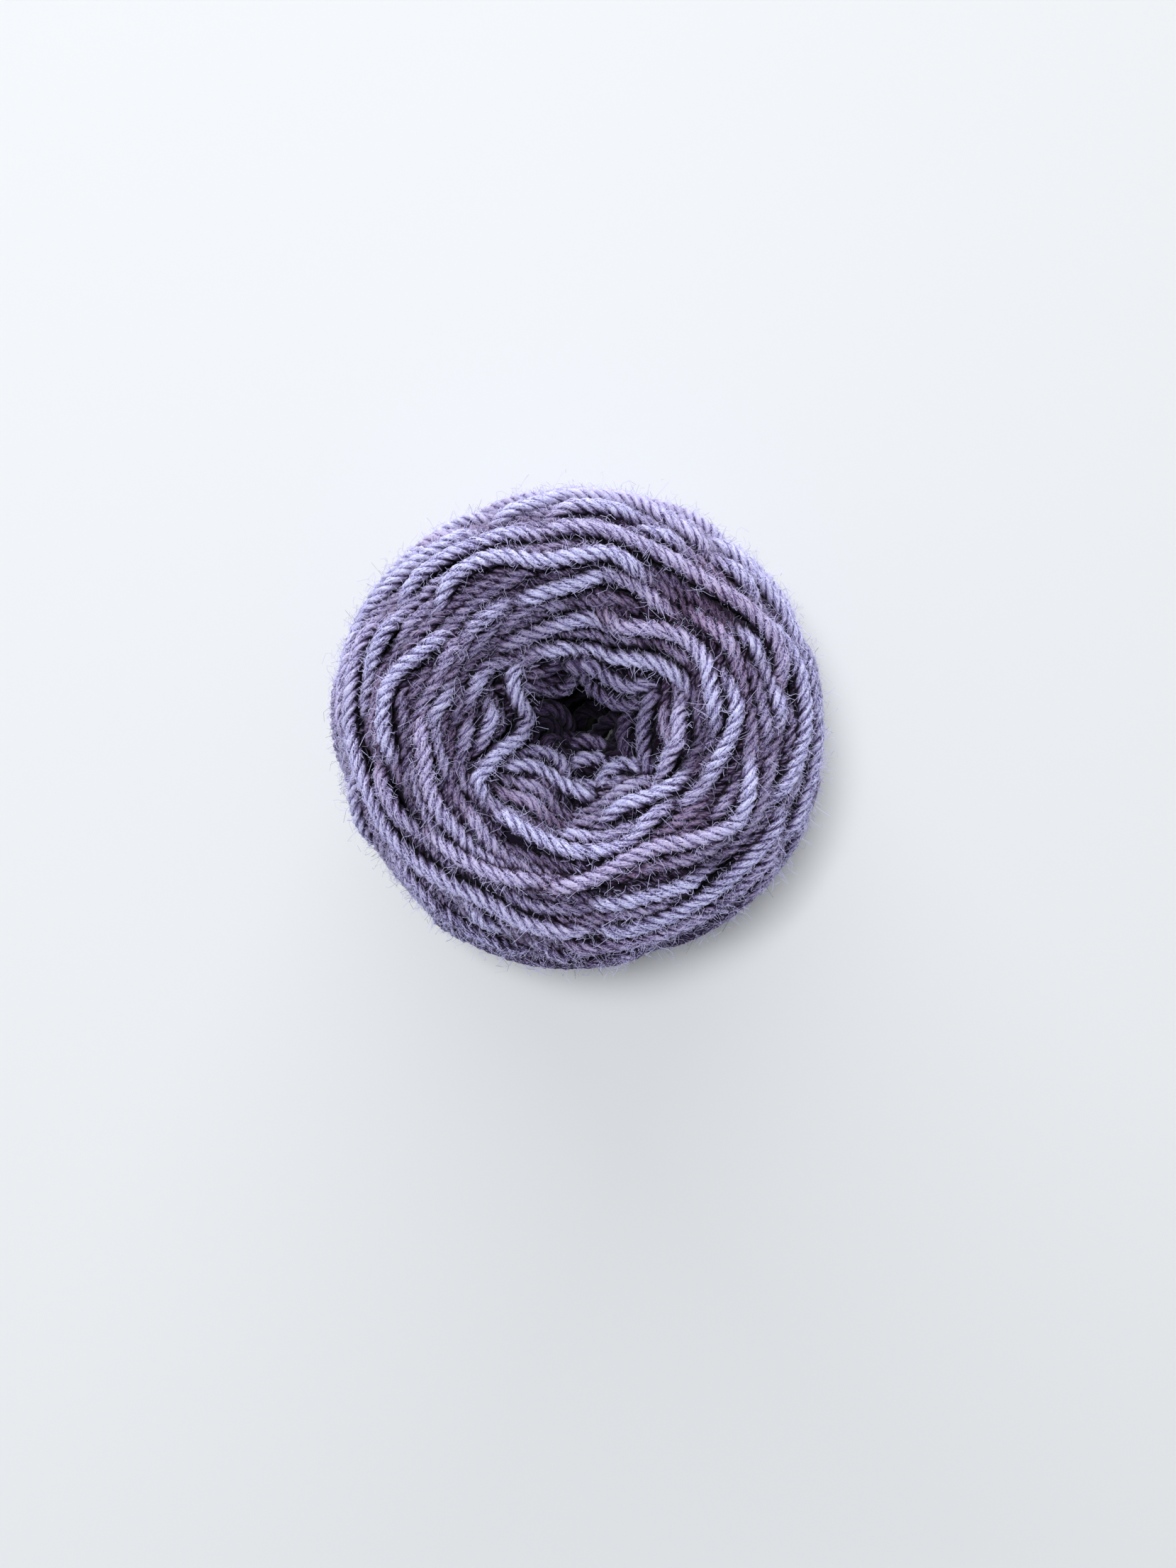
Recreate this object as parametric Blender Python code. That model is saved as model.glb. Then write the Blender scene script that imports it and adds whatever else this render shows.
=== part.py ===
"""A cake of plied wool yarn: one cross-wound body with a centre-pull hole, standing on its flat underside.

Metres, +Z up. The origin is on the surface the cake stands on, under its middle. Clock angles are seen
from above, clockwise from +Y.
"""

import math
from dataclasses import dataclass

import bmesh
import bpy
from mathutils import Vector

# Driving sizes
HEIGHT = 0.0600
BELT_RADIUS = 0.0428
YARN_DIAMETER = 0.0028
HOLE_RADIUS = 0.0046

# The wound turns, raised in the faces
COLUMNS = 54
TURN_PITCH = 1.02 * YARN_DIAMETER
RIDGE_RISE = 0.00045
GROOVE_DEPTH = 0.00060
PLAIN_ROWS_BASE = 4
PLAIN_ROWS_HOLE = 8
PLAIN_HOLE_HEIGHT = 0.0420
RIDGE_START_HEIGHT = 0.0003
RIDGE_FULL_HEIGHT = 0.0030

# The belt is a little wider across X than across Y
BELT_OVALITY = 0.017
BELT_WAVE = 0.006
BELT_WAVE_COUNT = 4

# The mouth keeps the six flats of the winder's spindle
MOUTH_SIDES = 6
MOUTH_CORNER_CLOCK = math.radians(3.0)
MOUTH_DEPTH = 0.07
MOUTH_START_HEIGHT = 0.0320
MOUTH_FULL_HEIGHT = 0.0440
MOUTH_FULL_RADIUS = 0.0150
MOUTH_END_RADIUS = 0.0250

# The hole stands a little off the middle of the cake
HOLE_ACROSS = 0.0018
HOLE_ALONG = 0.0009
HOLE_SHIFT_FULL_RADIUS = 0.0070
HOLE_SHIFT_END_RADIUS = 0.0180

# Turns climb the side on a slant, up on one half and down on the other
SLANT_RISE = 0.0130
SLANT_CLOCK = math.radians(35.0)

# On the top they wander in and out, away from the mouth and the shoulder
TOP_DRIFT = 0.0016
TOP_DRIFT_CLOCK = math.radians(250.0)
TOP_START_HEIGHT = 0.0460
TOP_FULL_HEIGHT = 0.0560
DRIFT_START_RADIUS = 0.0100
DRIFT_FULL_RADIUS = 0.0180
DRIFT_FALL_RADIUS = 0.0300
DRIFT_END_RADIUS = 0.0380

# Finish of the wool
WOOL_COLOUR = (0.235, 0.205, 0.365, 1.0)
WOOL_ROUGHNESS = 0.95


@dataclass(frozen=True)
class Station:
    """One place on the outline of the cake, from the hole's foot up, over the top, and down the side."""

    name: str
    radius: float
    height: float


@dataclass(frozen=True)
class Trough:
    """A soft hollow on the top, where older turns show lower down between later ones."""

    start: float
    end: float
    start_radius: float
    end_radius: float
    depth: float
    half_width: float


OUTLINE = (
    Station("base_inner_edge", 0.0170, 0.0),
    Station("hole_foot", 0.0104, 0.0034),
    Station("hole_lower", 0.0062, 0.0120),
    Station("hole_waist", HOLE_RADIUS, 0.5 * HEIGHT),
    Station("hole_upper", 0.0053, 0.0400),
    Station("throat", 0.0088, 0.0478),
    Station("funnel", 0.0138, 0.0532),
    Station("inner_lip", 0.0195, 0.0575),
    Station("crest", 0.0260, HEIGHT - RIDGE_RISE),
    Station("outer_top", 0.0333, 0.0578),
    Station("shoulder", 0.0396, 0.0510),
    Station("upper_side", 0.0424, 0.0410),
    Station("belt", BELT_RADIUS, 0.5 * HEIGHT),
    Station("lower_side", 0.0422, 0.0185),
    Station("lower_shoulder", 0.0392, 0.0080),
    Station("base_outer_edge", 0.0330, 0.0),
)

# Columns: clock angles in degrees, radii, depth and half width in metres
TROUGHS = (
    Trough(8, 78, 0.0300, 0.0305, 0.0014, 0.0022),
    Trough(350, 412, 0.0235, 0.0235, 0.0013, 0.0024),
    Trough(126, 172, 0.0325, 0.0275, 0.0015, 0.0020),
    Trough(196, 240, 0.0310, 0.0315, 0.0012, 0.0018),
    Trough(232, 268, 0.0355, 0.0370, 0.0010, 0.0016),
    Trough(98, 122, 0.0260, 0.0262, 0.0010, 0.0018),
)

TROUGH_END_ANGLE = math.radians(14.0)

DENSE_STEPS = 24


def curve_point(before, start, end, after, share):
    """A point on the smooth curve through start and end, with its neighbours setting the slopes."""
    squared = share * share
    cubed = squared * share
    return tuple(
        0.5
        * (
            2 * b
            + (c - a) * share
            + (2 * a - 5 * b + 4 * c - d) * squared
            + (3 * b - a - 3 * c + d) * cubed
        )
        for a, b, c, d in zip(before, start, end, after)
    )


def dense_outline():
    """The outline from the base's inner edge to its outer edge, as close (radius, height) points."""
    places = [(station.radius, station.height) for station in OUTLINE]
    first = (2 * places[0][0] - places[1][0], -places[1][1])
    last = (2 * places[-1][0] - places[-2][0], -places[-2][1])
    padded = [first, *places, last]
    points = []
    for index in range(1, len(padded) - 2):
        for step in range(DENSE_STEPS):
            points.append(curve_point(*padded[index - 1 : index + 3], step / DENSE_STEPS))
    points.append(places[-1])
    return points


def running_lengths(points):
    """The distance along the points, from the first to each."""
    lengths = [0.0]
    for before, after in zip(points, points[1:]):
        lengths.append(lengths[-1] + math.dist(before, after))
    return lengths


def at_length(points, lengths, wanted):
    """The place and the outward direction at that distance along the points."""
    index = 1
    while index < len(points) - 1 and lengths[index] < wanted:
        index += 1
    before, after = points[index - 1], points[index]
    share = (wanted - lengths[index - 1]) / (lengths[index] - lengths[index - 1])
    radius = before[0] + share * (after[0] - before[0])
    height = before[1] + share * (after[1] - before[1])
    run = math.dist(before, after)
    across = ((before[1] - after[1]) / run, (after[0] - before[0]) / run)
    return radius, height, across


def smooth_step(value, start, full):
    """0 at start and 1 at full, with a smooth change between them, whichever is the larger."""
    share = min(1.0, max(0.0, (value - start) / (full - start)))
    return share * share * (3 - 2 * share)


def trough_depth(clock, radius):
    """How far the troughs lower the top at a clock angle in radians and a radius."""
    depth = 0.0
    for trough in TROUGHS:
        middle = math.radians(0.5 * (trough.start + trough.end))
        half = math.radians(0.5 * (trough.end - trough.start))
        offset = (clock - middle + math.pi) % (2 * math.pi) - math.pi
        share = min(1.0, max(0.0, 0.5 * (offset / half + 1)))
        line = trough.start_radius + share * (trough.end_radius - trough.start_radius)
        across = math.exp(-(((radius - line) / trough.half_width) ** 2))
        along = smooth_step(abs(offset), half + TROUGH_END_ANGLE, half)
        depth += trough.depth * across * along
    return depth


def belt_factor(clock, radius):
    """How much wider or narrower the cake is towards a clock angle, which fades out towards the hole."""
    oval = -BELT_OVALITY * math.cos(2 * clock)
    wave = BELT_WAVE * math.sin(BELT_WAVE_COUNT * clock)
    fade = min(1.0, max(0.0, (radius - 0.5 * BELT_RADIUS) / (0.5 * BELT_RADIUS)))
    return 1 + fade * (oval + wave)


def mouth_factor(clock, radius, height):
    """The six-sided mouth: wider at its corners and narrower at its flats, above the hole's waist."""
    above = smooth_step(height, MOUTH_START_HEIGHT, MOUTH_FULL_HEIGHT)
    inside = smooth_step(radius, MOUTH_END_RADIUS, MOUTH_FULL_RADIUS)
    return 1 + MOUTH_DEPTH * above * inside * math.cos(MOUTH_SIDES * (clock - MOUTH_CORNER_CLOCK))


def turn_drift(clock, side_share, radius, height):
    """How far a turn wanders along the outline: up and down the side, and in and out on the top.

    side_share runs from 0 at the crest to 1 at the base's outer edge, and is clamped outside them.
    """
    slant = SLANT_RISE * math.sin(math.pi * side_share) ** 2 * math.sin(clock - SLANT_CLOCK)
    top = smooth_step(height, TOP_START_HEIGHT, TOP_FULL_HEIGHT)
    outside_mouth = smooth_step(radius, DRIFT_START_RADIUS, DRIFT_FULL_RADIUS)
    inside_shoulder = smooth_step(radius, DRIFT_END_RADIUS, DRIFT_FALL_RADIUS)
    drift = TOP_DRIFT * top * outside_mouth * inside_shoulder
    return slant + drift * math.sin(clock - TOP_DRIFT_CLOCK)


@dataclass(frozen=True)
class Row:
    """One ring of points: its distance along the outline, and how far it is raised from the outline."""

    length: float
    rise: float


def outline_rows(lengths, points):
    """Plain rows up the hole, then a ridge row and a groove row for each turn, down to the base's edge."""
    plain_end = next(i for i, place in enumerate(points) if place[1] >= PLAIN_HOLE_HEIGHT)
    start = lengths[plain_end]
    rows = [Row(start * step / PLAIN_ROWS_HOLE, 0.0) for step in range(PLAIN_ROWS_HOLE)]
    turns = round((lengths[-1] - start) / TURN_PITCH)
    pitch = (lengths[-1] - start) / turns
    for turn in range(turns):
        rows.append(Row(start + turn * pitch, -GROOVE_DEPTH if turn else 0.0))
        rows.append(Row(start + (turn + 0.5) * pitch, RIDGE_RISE))
    rows.append(Row(lengths[-1], 0.0))
    return rows


def wound_point(points, lengths, crest, row, clock):
    """The point of a row at a clock angle, with the turn's wander, its ridge and the hollows of the top."""
    radius, height, _ = at_length(points, lengths, row.length)
    side_share = min(1.0, max(0.0, (row.length - crest) / (lengths[-1] - crest)))
    wander = row.length + turn_drift(clock, side_share, radius, height)
    radius, height, outward = at_length(points, lengths, wander)
    rise = row.rise * smooth_step(height, RIDGE_START_HEIGHT, RIDGE_FULL_HEIGHT)
    radius += rise * outward[0]
    height += rise * outward[1]
    if outward[1] > 0:
        height -= trough_depth(clock, radius) * outward[1]
    radius *= belt_factor(clock, radius) * mouth_factor(clock, radius, height)
    shift = smooth_step(radius, HOLE_SHIFT_END_RADIUS, HOLE_SHIFT_FULL_RADIUS)
    across = radius * math.sin(clock) + shift * HOLE_ACROSS
    along = radius * math.cos(clock) + shift * HOLE_ALONG
    return Vector((across, along, max(0.0, height)))


def base_rows(outer, inner):
    """Flat rings that cross the underside, from its outer edge to the hole."""
    rings = []
    for step in range(1, PLAIN_ROWS_BASE):
        share = step / PLAIN_ROWS_BASE
        rings.append([there.lerp(here, share) for there, here in zip(outer, inner)])
    return rings


def wound_mesh():
    """The whole cake as rings of points joined into a closed ring-shaped body."""
    points = dense_outline()
    lengths = running_lengths(points)
    crest = max(zip(points, lengths), key=lambda pair: pair[0][1])[1]
    clocks = [2 * math.pi * column / COLUMNS for column in range(COLUMNS)]
    rows = outline_rows(lengths, points)
    rings = [[wound_point(points, lengths, crest, row, clock) for clock in clocks] for row in rows]
    rings += base_rows(rings[-1], rings[0])
    every = [place for ring in rings for place in ring]
    middle_x = 0.5 * (min(p.x for p in every) + max(p.x for p in every))
    middle_y = 0.5 * (min(p.y for p in every) + max(p.y for p in every))
    mesh = bmesh.new()
    grid = [[mesh.verts.new(p - Vector((middle_x, middle_y, 0))) for p in ring] for ring in rings]
    for ring, following in zip(grid, grid[1:] + grid[:1]):
        for column in range(COLUMNS):
            after = (column + 1) % COLUMNS
            mesh.faces.new((ring[column], ring[after], following[after], following[column]))
    bmesh.ops.recalc_face_normals(mesh, faces=mesh.faces)
    return mesh


def wool_material():
    """Dyed wool: a muted violet with no shine."""
    material = bpy.data.materials.new("wool")
    material.use_nodes = True
    shader = material.node_tree.nodes["Principled BSDF"]
    shader.inputs["Base Color"].default_value = WOOL_COLOUR
    shader.inputs["Roughness"].default_value = WOOL_ROUGHNESS
    shader.inputs["Metallic"].default_value = 0.0
    return material


def build_cake():
    """Makes the one object, the wound yarn."""
    body = wound_mesh()
    data = bpy.data.meshes.new("wound_yarn")
    body.to_mesh(data)
    body.free()
    data.materials.append(wool_material())
    data.shade_smooth()
    cake = bpy.data.objects.new("wound_yarn", data)
    bpy.context.scene.collection.objects.link(cake)
    return cake


for old in list(bpy.data.objects):
    bpy.data.objects.remove(old)
build_cake()
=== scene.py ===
"""The look of a wound cake of plied wool yarn: every turn that shows, laid on the turns beneath it.

Strands are worked out in millimetres and turned into metres where a mesh is made. Clock angles are seen
from above, clockwise from +Y. A run is a distance along the cake's outline: up the hole, over the crown,
down the side and back across the underside to the hole.
"""

import logging
import math
from dataclasses import dataclass, field, replace
from enum import Enum

import bpy
import numpy as np
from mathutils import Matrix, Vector


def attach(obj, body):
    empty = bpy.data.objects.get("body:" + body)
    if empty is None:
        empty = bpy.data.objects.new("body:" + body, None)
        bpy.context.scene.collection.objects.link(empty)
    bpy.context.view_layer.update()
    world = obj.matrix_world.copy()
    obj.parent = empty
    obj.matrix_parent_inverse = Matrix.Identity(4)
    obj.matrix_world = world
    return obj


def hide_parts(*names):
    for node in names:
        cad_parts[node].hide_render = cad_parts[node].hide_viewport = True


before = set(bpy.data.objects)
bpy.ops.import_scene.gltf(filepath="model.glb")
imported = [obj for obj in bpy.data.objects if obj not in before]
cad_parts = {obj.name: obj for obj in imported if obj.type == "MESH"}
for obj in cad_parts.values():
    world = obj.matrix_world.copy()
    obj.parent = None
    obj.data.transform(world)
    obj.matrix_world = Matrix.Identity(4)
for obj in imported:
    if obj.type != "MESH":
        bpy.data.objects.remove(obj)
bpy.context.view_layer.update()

Array = np.ndarray
Span = tuple[float, float]
Triple = tuple[float, float, float]
Socket = bpy.types.NodeSocket

LOG = logging.getLogger("yarn_cake")

BODY = "root"
NODE = "wound_yarn"
MM = 0.001
FULL_TURN = 2.0 * math.pi
VECTOR = "FLOAT_VECTOR"
LUMP_GRAIN = (420.0, 2.2, 2.2)


class Zone(Enum):
    """Where on the cake a strand lies, which sets its piece and how finely it is made."""

    HOLE = "hole_turns"
    UNDERSIDE = "underside_turns"
    SIDE = "side_turns"
    CROWN = "older_crown_turns"
    MOUTH = "mouth_turns"
    TOP = "crown_turns"


class Lay(Enum):
    """When a turn of the crown was laid: later turns lie over earlier ones."""

    DEEP = 0
    UNDER = 1
    MIDDLE = 2
    OVER = 3
    LAST = 4


@dataclass(frozen=True)
class Station:
    """One place on the cake's outline, in millimetres."""

    name: str
    radius: float
    height: float


@dataclass(frozen=True)
class Trough:
    """A soft hollow of the crown: clock angles in degrees, the rest in millimetres."""

    start: float
    end: float
    start_radius: float
    end_radius: float
    depth: float
    half_width: float


@dataclass(frozen=True)
class Turn:
    """One turn of the crown: when it was laid, and its clock angles and radii as seen from above."""

    lay: Lay
    places: tuple[Span, ...]
    shade: float = 0.0


@dataclass(frozen=True)
class InnerTurn:
    """One old turn that hangs in the mouth: across and along as the camera sees it, and its height.

    Its light runs from 0 where none reaches it to 1 at the lip, and sets the light and shade painted on it.
    """

    light: float
    places: tuple[Triple, ...]


OUTLINE = (
    Station("base_inner_edge", 17.0, 0.0),
    Station("hole_foot", 10.4, 3.4),
    Station("hole_lower", 6.2, 12.0),
    Station("hole_waist", 4.6, 30.0),
    Station("hole_upper", 5.3, 40.0),
    Station("throat", 8.8, 47.8),
    Station("funnel", 13.8, 53.2),
    Station("inner_lip", 19.5, 57.5),
    Station("crest", 26.0, 59.55),
    Station("outer_top", 33.3, 57.8),
    Station("shoulder", 39.6, 51.0),
    Station("upper_side", 42.4, 41.0),
    Station("belt", 42.8, 30.0),
    Station("lower_side", 42.2, 18.5),
    Station("lower_shoulder", 39.2, 8.0),
    Station("base_outer_edge", 33.0, 0.0),
)

TROUGHS = (
    Trough(8, 78, 30.0, 30.5, 1.4, 2.2),
    Trough(350, 412, 23.5, 23.5, 1.3, 2.4),
    Trough(126, 172, 32.5, 27.5, 1.5, 2.0),
    Trough(196, 240, 31.0, 31.5, 1.2, 1.8),
    Trough(232, 268, 35.5, 37.0, 1.0, 1.6),
    Trough(98, 122, 26.0, 26.2, 1.0, 1.8),
)

CROWN_TURNS = (
    Turn(Lay.MIDDLE, ((-7, 41.4), (0, 42.0), (13, 42.0), (21, 41.0))),
    Turn(Lay.MIDDLE, ((-4, 39.8), (0, 40.0), (25, 40.2), (50, 40.0), (60, 39.6))),
    Turn(Lay.UNDER, ((-6, 37.5), (0, 37.7), (30, 38.3), (50, 38.7))),
    Turn(Lay.LAST, ((-5, 36.3), (0, 36.0), (10, 35.5), (20, 34.7), (35, 34.5), (45, 35.3), (55, 37.0),
         (65, 38.3), (73, 38.2)), 0.30),
    Turn(Lay.DEEP, ((20, 28.8), (30, 29.3), (42, 30.0), (57, 30.8)), -0.1),
    Turn(Lay.DEEP, ((-8, 23.2), (10, 23.5), (25, 24.0), (42, 25.0)), -0.2),
    Turn(Lay.DEEP, ((-4, 25.4), (20, 25.8), (40, 24.6)), -0.2),
    Turn(Lay.OVER, ((22, 20.0), (30, 21.5), (40, 23.5), (50, 25.3), (60, 26.0), (70, 25.3),
         (82, 24.7))),
    Turn(Lay.MIDDLE, ((46, 29.6), (60, 31.0), (70, 30.8), (80, 29.7))),
    Turn(Lay.MIDDLE, ((61, 34.7), (75, 36.3), (85, 36.6))),
    Turn(Lay.MIDDLE, ((50, 42.0), (65, 42.2), (78, 42.4), (92, 42.6), (104, 42.4)), -0.3),
    Turn(Lay.OVER, ((62, 39.9), (70, 40.4), (80, 40.6), (90, 40.2), (98, 39.2), (106, 38.2)), 0.1),
    Turn(Lay.UNDER, ((76, 38.0), (85, 38.2), (95, 37.8), (104, 37.6)), -0.2),
    Turn(Lay.UNDER, ((282, 36.4), (290, 36.6), (298, 35.0), (306, 33.6)), -0.2),
    Turn(Lay.MIDDLE, ((68, 32.8), (80, 34.0), (92, 34.6))),
    Turn(Lay.MIDDLE, ((78, 30.9), (95, 31.5), (110, 30.5), (122, 29.3))),
    Turn(Lay.OVER, ((68, 27.2), (80, 28.8), (90, 27.8), (100, 26.3), (107, 25.3))),
    Turn(Lay.UNDER, ((78, 22.7), (90, 23.0), (102, 22.4))),
    Turn(Lay.OVER, ((-12, 15.0), (0, 14.5), (20, 14.5), (30, 15.3), (40, 16.8), (50, 18.8),
         (60, 20.1))),
    Turn(Lay.UNDER, ((28, 18.3), (48, 21.5), (56, 22.6))),
    Turn(Lay.MIDDLE, ((14, 11.5), (18, 11.0), (30, 10.8), (45, 11.5), (55, 13.5), (60, 14.6))),
    Turn(Lay.OVER, ((62, 18.8), (80, 18.3), (95, 18.3), (105, 17.3), (116, 17.0))),
    Turn(Lay.MIDDLE, ((62, 16.4), (75, 15.3), (90, 15.5), (97, 15.8))),
    Turn(Lay.MIDDLE, ((86, 39.6), (105, 39.0), (120, 38.5), (132, 38.0))),
    Turn(Lay.MIDDLE, ((100, 41.0), (120, 41.0), (135, 40.3), (150, 39.6), (167, 39.0))),
    Turn(Lay.OVER, ((112, 39.7), (130, 38.0), (140, 37.5), (150, 37.0), (173, 36.8))),
    Turn(Lay.MIDDLE, ((86, 37.3), (100, 36.0), (115, 36.5), (130, 36.0))),
    Turn(Lay.MIDDLE, ((126, 36.5), (138, 35.0), (148, 33.3), (155, 32.5), (173, 31.6))),
    Turn(Lay.MIDDLE, ((137, 35.6), (155, 35.3), (170, 35.0), (193, 36.1))),
    Turn(Lay.LAST, ((106, 32.0), (113, 32.5), (120, 32.8), (128, 30.5), (135, 28.3), (143, 26.2),
         (150, 25.2), (160, 25.3), (168, 26.0), (175, 27.0), (183, 28.0)), 0.35),
    Turn(Lay.UNDER, ((118, 34.2), (128, 33.0), (138, 31.0), (148, 28.5), (158, 27.2),
         (167, 27.0)), -0.15),
    Turn(Lay.MIDDLE, ((152, 31.6), (175, 31.0), (193, 29.8))),
    Turn(Lay.UNDER, ((162, 29.5), (180, 29.5), (192, 30.1))),
    Turn(Lay.MIDDLE, ((104, 24.7), (118, 24.0), (127, 22.2))),
    Turn(Lay.MIDDLE, ((117, 25.3), (135, 23.8), (149, 22.9))),
    Turn(Lay.UNDER, ((102, 20.9), (112, 21.3), (124, 22.1))),
    Turn(Lay.OVER, ((137, 20.7), (150, 21.3), (160, 22.3), (175, 22.3), (190, 21.6), (200, 21.0),
         (210, 20.8), (219, 20.4))),
    Turn(Lay.MIDDLE, ((149, 19.2), (165, 19.5), (180, 19.0), (188, 18.7))),
    Turn(Lay.OVER, ((117, 19.9), (130, 18.3), (140, 17.0), (152, 15.8))),
    Turn(Lay.MIDDLE, ((140, 16.8), (155, 15.5), (170, 15.5), (183, 16.0))),
    Turn(Lay.MIDDLE, ((118, 15.5), (130, 14.0), (140, 13.0), (155, 12.8), (170, 13.5), (182, 14.3))),
    Turn(Lay.LAST, ((182, 36.2), (195, 35.7), (205, 34.8), (212, 34.7), (220, 35.7), (230, 37.0),
         (240, 38.3), (250, 38.7), (260, 39.5), (270, 40.5), (282, 41.1)), 0.15),
    Turn(Lay.MIDDLE, ((208, 40.6), (225, 40.3), (239, 39.9))),
    Turn(Lay.OVER, ((186, 27.6), (200, 28.8), (210, 30.0), (220, 31.0), (230, 32.0))),
    Turn(Lay.MIDDLE, ((176, 32.9), (195, 33.3), (205, 32.8))),
    Turn(Lay.MIDDLE, ((222, 34.6), (235, 34.3), (245, 35.8), (257, 37.2))),
    Turn(Lay.MIDDLE, ((222, 29.9), (235, 31.3), (245, 31.0), (258, 30.1))),
    Turn(Lay.OVER, ((209, 28.6), (222, 29.0), (230, 28.7), (240, 29.0), (250, 28.8), (258, 28.3),
         (268, 28.3))),
    Turn(Lay.MIDDLE, ((252, 32.7), (263, 31.7), (270, 31.8), (283, 33.2))),
    Turn(Lay.MIDDLE, ((252, 34.0), (265, 35.0), (283, 34.7))),
    Turn(Lay.OVER, ((188, 27.7), (195, 27.0), (205, 26.5), (215, 26.0), (225, 25.0)), 0.15),
    Turn(Lay.UNDER, ((194, 23.9), (210, 24.3), (216, 24.3))),
    Turn(Lay.MIDDLE, ((225, 23.8), (240, 24.8), (251, 23.7))),
    Turn(Lay.OVER, ((211, 18.7), (222, 19.3), (230, 20.0), (240, 21.5), (249, 22.2))),
    Turn(Lay.MIDDLE, ((237, 20.1), (250, 21.5), (258, 21.0), (269, 19.2))),
    Turn(Lay.OVER, ((252, 24.8), (265, 25.7), (275, 25.8), (282, 24.7))),
    Turn(Lay.MIDDLE, ((186, 16.3), (205, 15.3), (215, 15.0), (225, 16.0), (238, 17.7))),
    Turn(Lay.MIDDLE, ((180, 14.0), (200, 12.5), (212, 11.8), (222, 12.5), (238, 14.4))),
    Turn(Lay.LAST, ((244, 20.5), (248, 18.0), (253, 16.0), (257, 13.5), (262, 11.2), (270, 10.5),
         (280, 9.8), (290, 11.0), (297, 13.0), (306, 14.8))),
    Turn(Lay.MIDDLE, ((257, 17.4), (268, 16.0), (275, 15.5), (286, 15.5))),
    Turn(Lay.MIDDLE, ((281, 42.8), (295, 43.3), (305, 42.7), (318, 41.4))),
    Turn(Lay.MIDDLE, ((275, 39.7), (290, 39.0), (300, 38.7), (310, 38.0), (320, 36.7))),
    Turn(Lay.OVER, ((310, 39.5), (322, 38.8), (330, 37.8), (340, 37.0), (350, 36.2))),
    Turn(Lay.MIDDLE, ((326, 41.1), (350, 40.7), (358, 40.5))),
    Turn(Lay.MIDDLE, ((342, 38.7), (355, 37.8), (368, 37.4))),
    Turn(Lay.MIDDLE, ((266, 37.3), (285, 38.0), (290, 38.0))),
    Turn(Lay.OVER, ((266, 34.6), (280, 35.0), (288, 33.8), (294, 32.0), (301, 30.4))),
    Turn(Lay.MIDDLE, ((286, 37.2), (300, 36.5), (310, 35.3), (323, 34.2))),
    Turn(Lay.MIDDLE, ((290, 34.7), (305, 33.7), (315, 32.5), (331, 31.3))),
    Turn(Lay.LAST, ((316, 34.6), (320, 35.0), (328, 35.0), (336, 33.8), (343, 31.8), (350, 30.8),
         (360, 31.2), (370, 32.0), (378, 31.0)), 0.20),
    Turn(Lay.MIDDLE, ((300, 30.6), (312, 29.5), (322, 29.2), (332, 29.6), (343, 30.5))),
    Turn(Lay.MIDDLE, ((279, 30.9), (290, 29.5), (298, 28.5), (307, 27.8))),
    Turn(Lay.OVER, ((269, 29.9), (280, 28.0), (287, 27.0), (300, 27.0))),
    Turn(Lay.OVER, ((287, 25.0), (300, 25.0), (307, 25.8), (315, 26.5), (323, 26.2))),
    Turn(Lay.UNDER, ((332, 26.9), (345, 27.3), (355, 28.2))),
    Turn(Lay.OVER, ((338, 25.3), (345, 25.5), (355, 26.0), (363, 27.0), (370, 28.3), (380, 28.0),
         (390, 27.0), (400, 26.4))),
    Turn(Lay.MIDDLE, ((267, 24.6), (278, 23.7), (293, 22.8))),
    Turn(Lay.MIDDLE, ((302, 23.4), (315, 23.5), (325, 24.3), (333, 25.4))),
    Turn(Lay.MIDDLE, ((322, 21.8), (335, 22.5), (345, 22.7), (353, 21.7))),
    Turn(Lay.MIDDLE, ((277, 20.8), (290, 21.8), (300, 22.0), (308, 21.8), (320, 20.4))),
    Turn(Lay.OVER, ((297, 19.9), (308, 18.5), (315, 16.5), (322, 15.0), (333, 14.9))),
    Turn(Lay.OVER, ((320, 19.1), (328, 18.5), (338, 18.0), (350, 18.8), (360, 19.7), (370, 19.3),
         (380, 18.5), (391, 18.1))),
    Turn(Lay.UNDER, ((266, 15.4), (280, 15.7), (291, 16.8))),
    Turn(Lay.MIDDLE, ((306, 11.6), (320, 10.0), (335, 9.3), (350, 9.5), (358, 10.5), (368, 12.6))),
)

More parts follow.
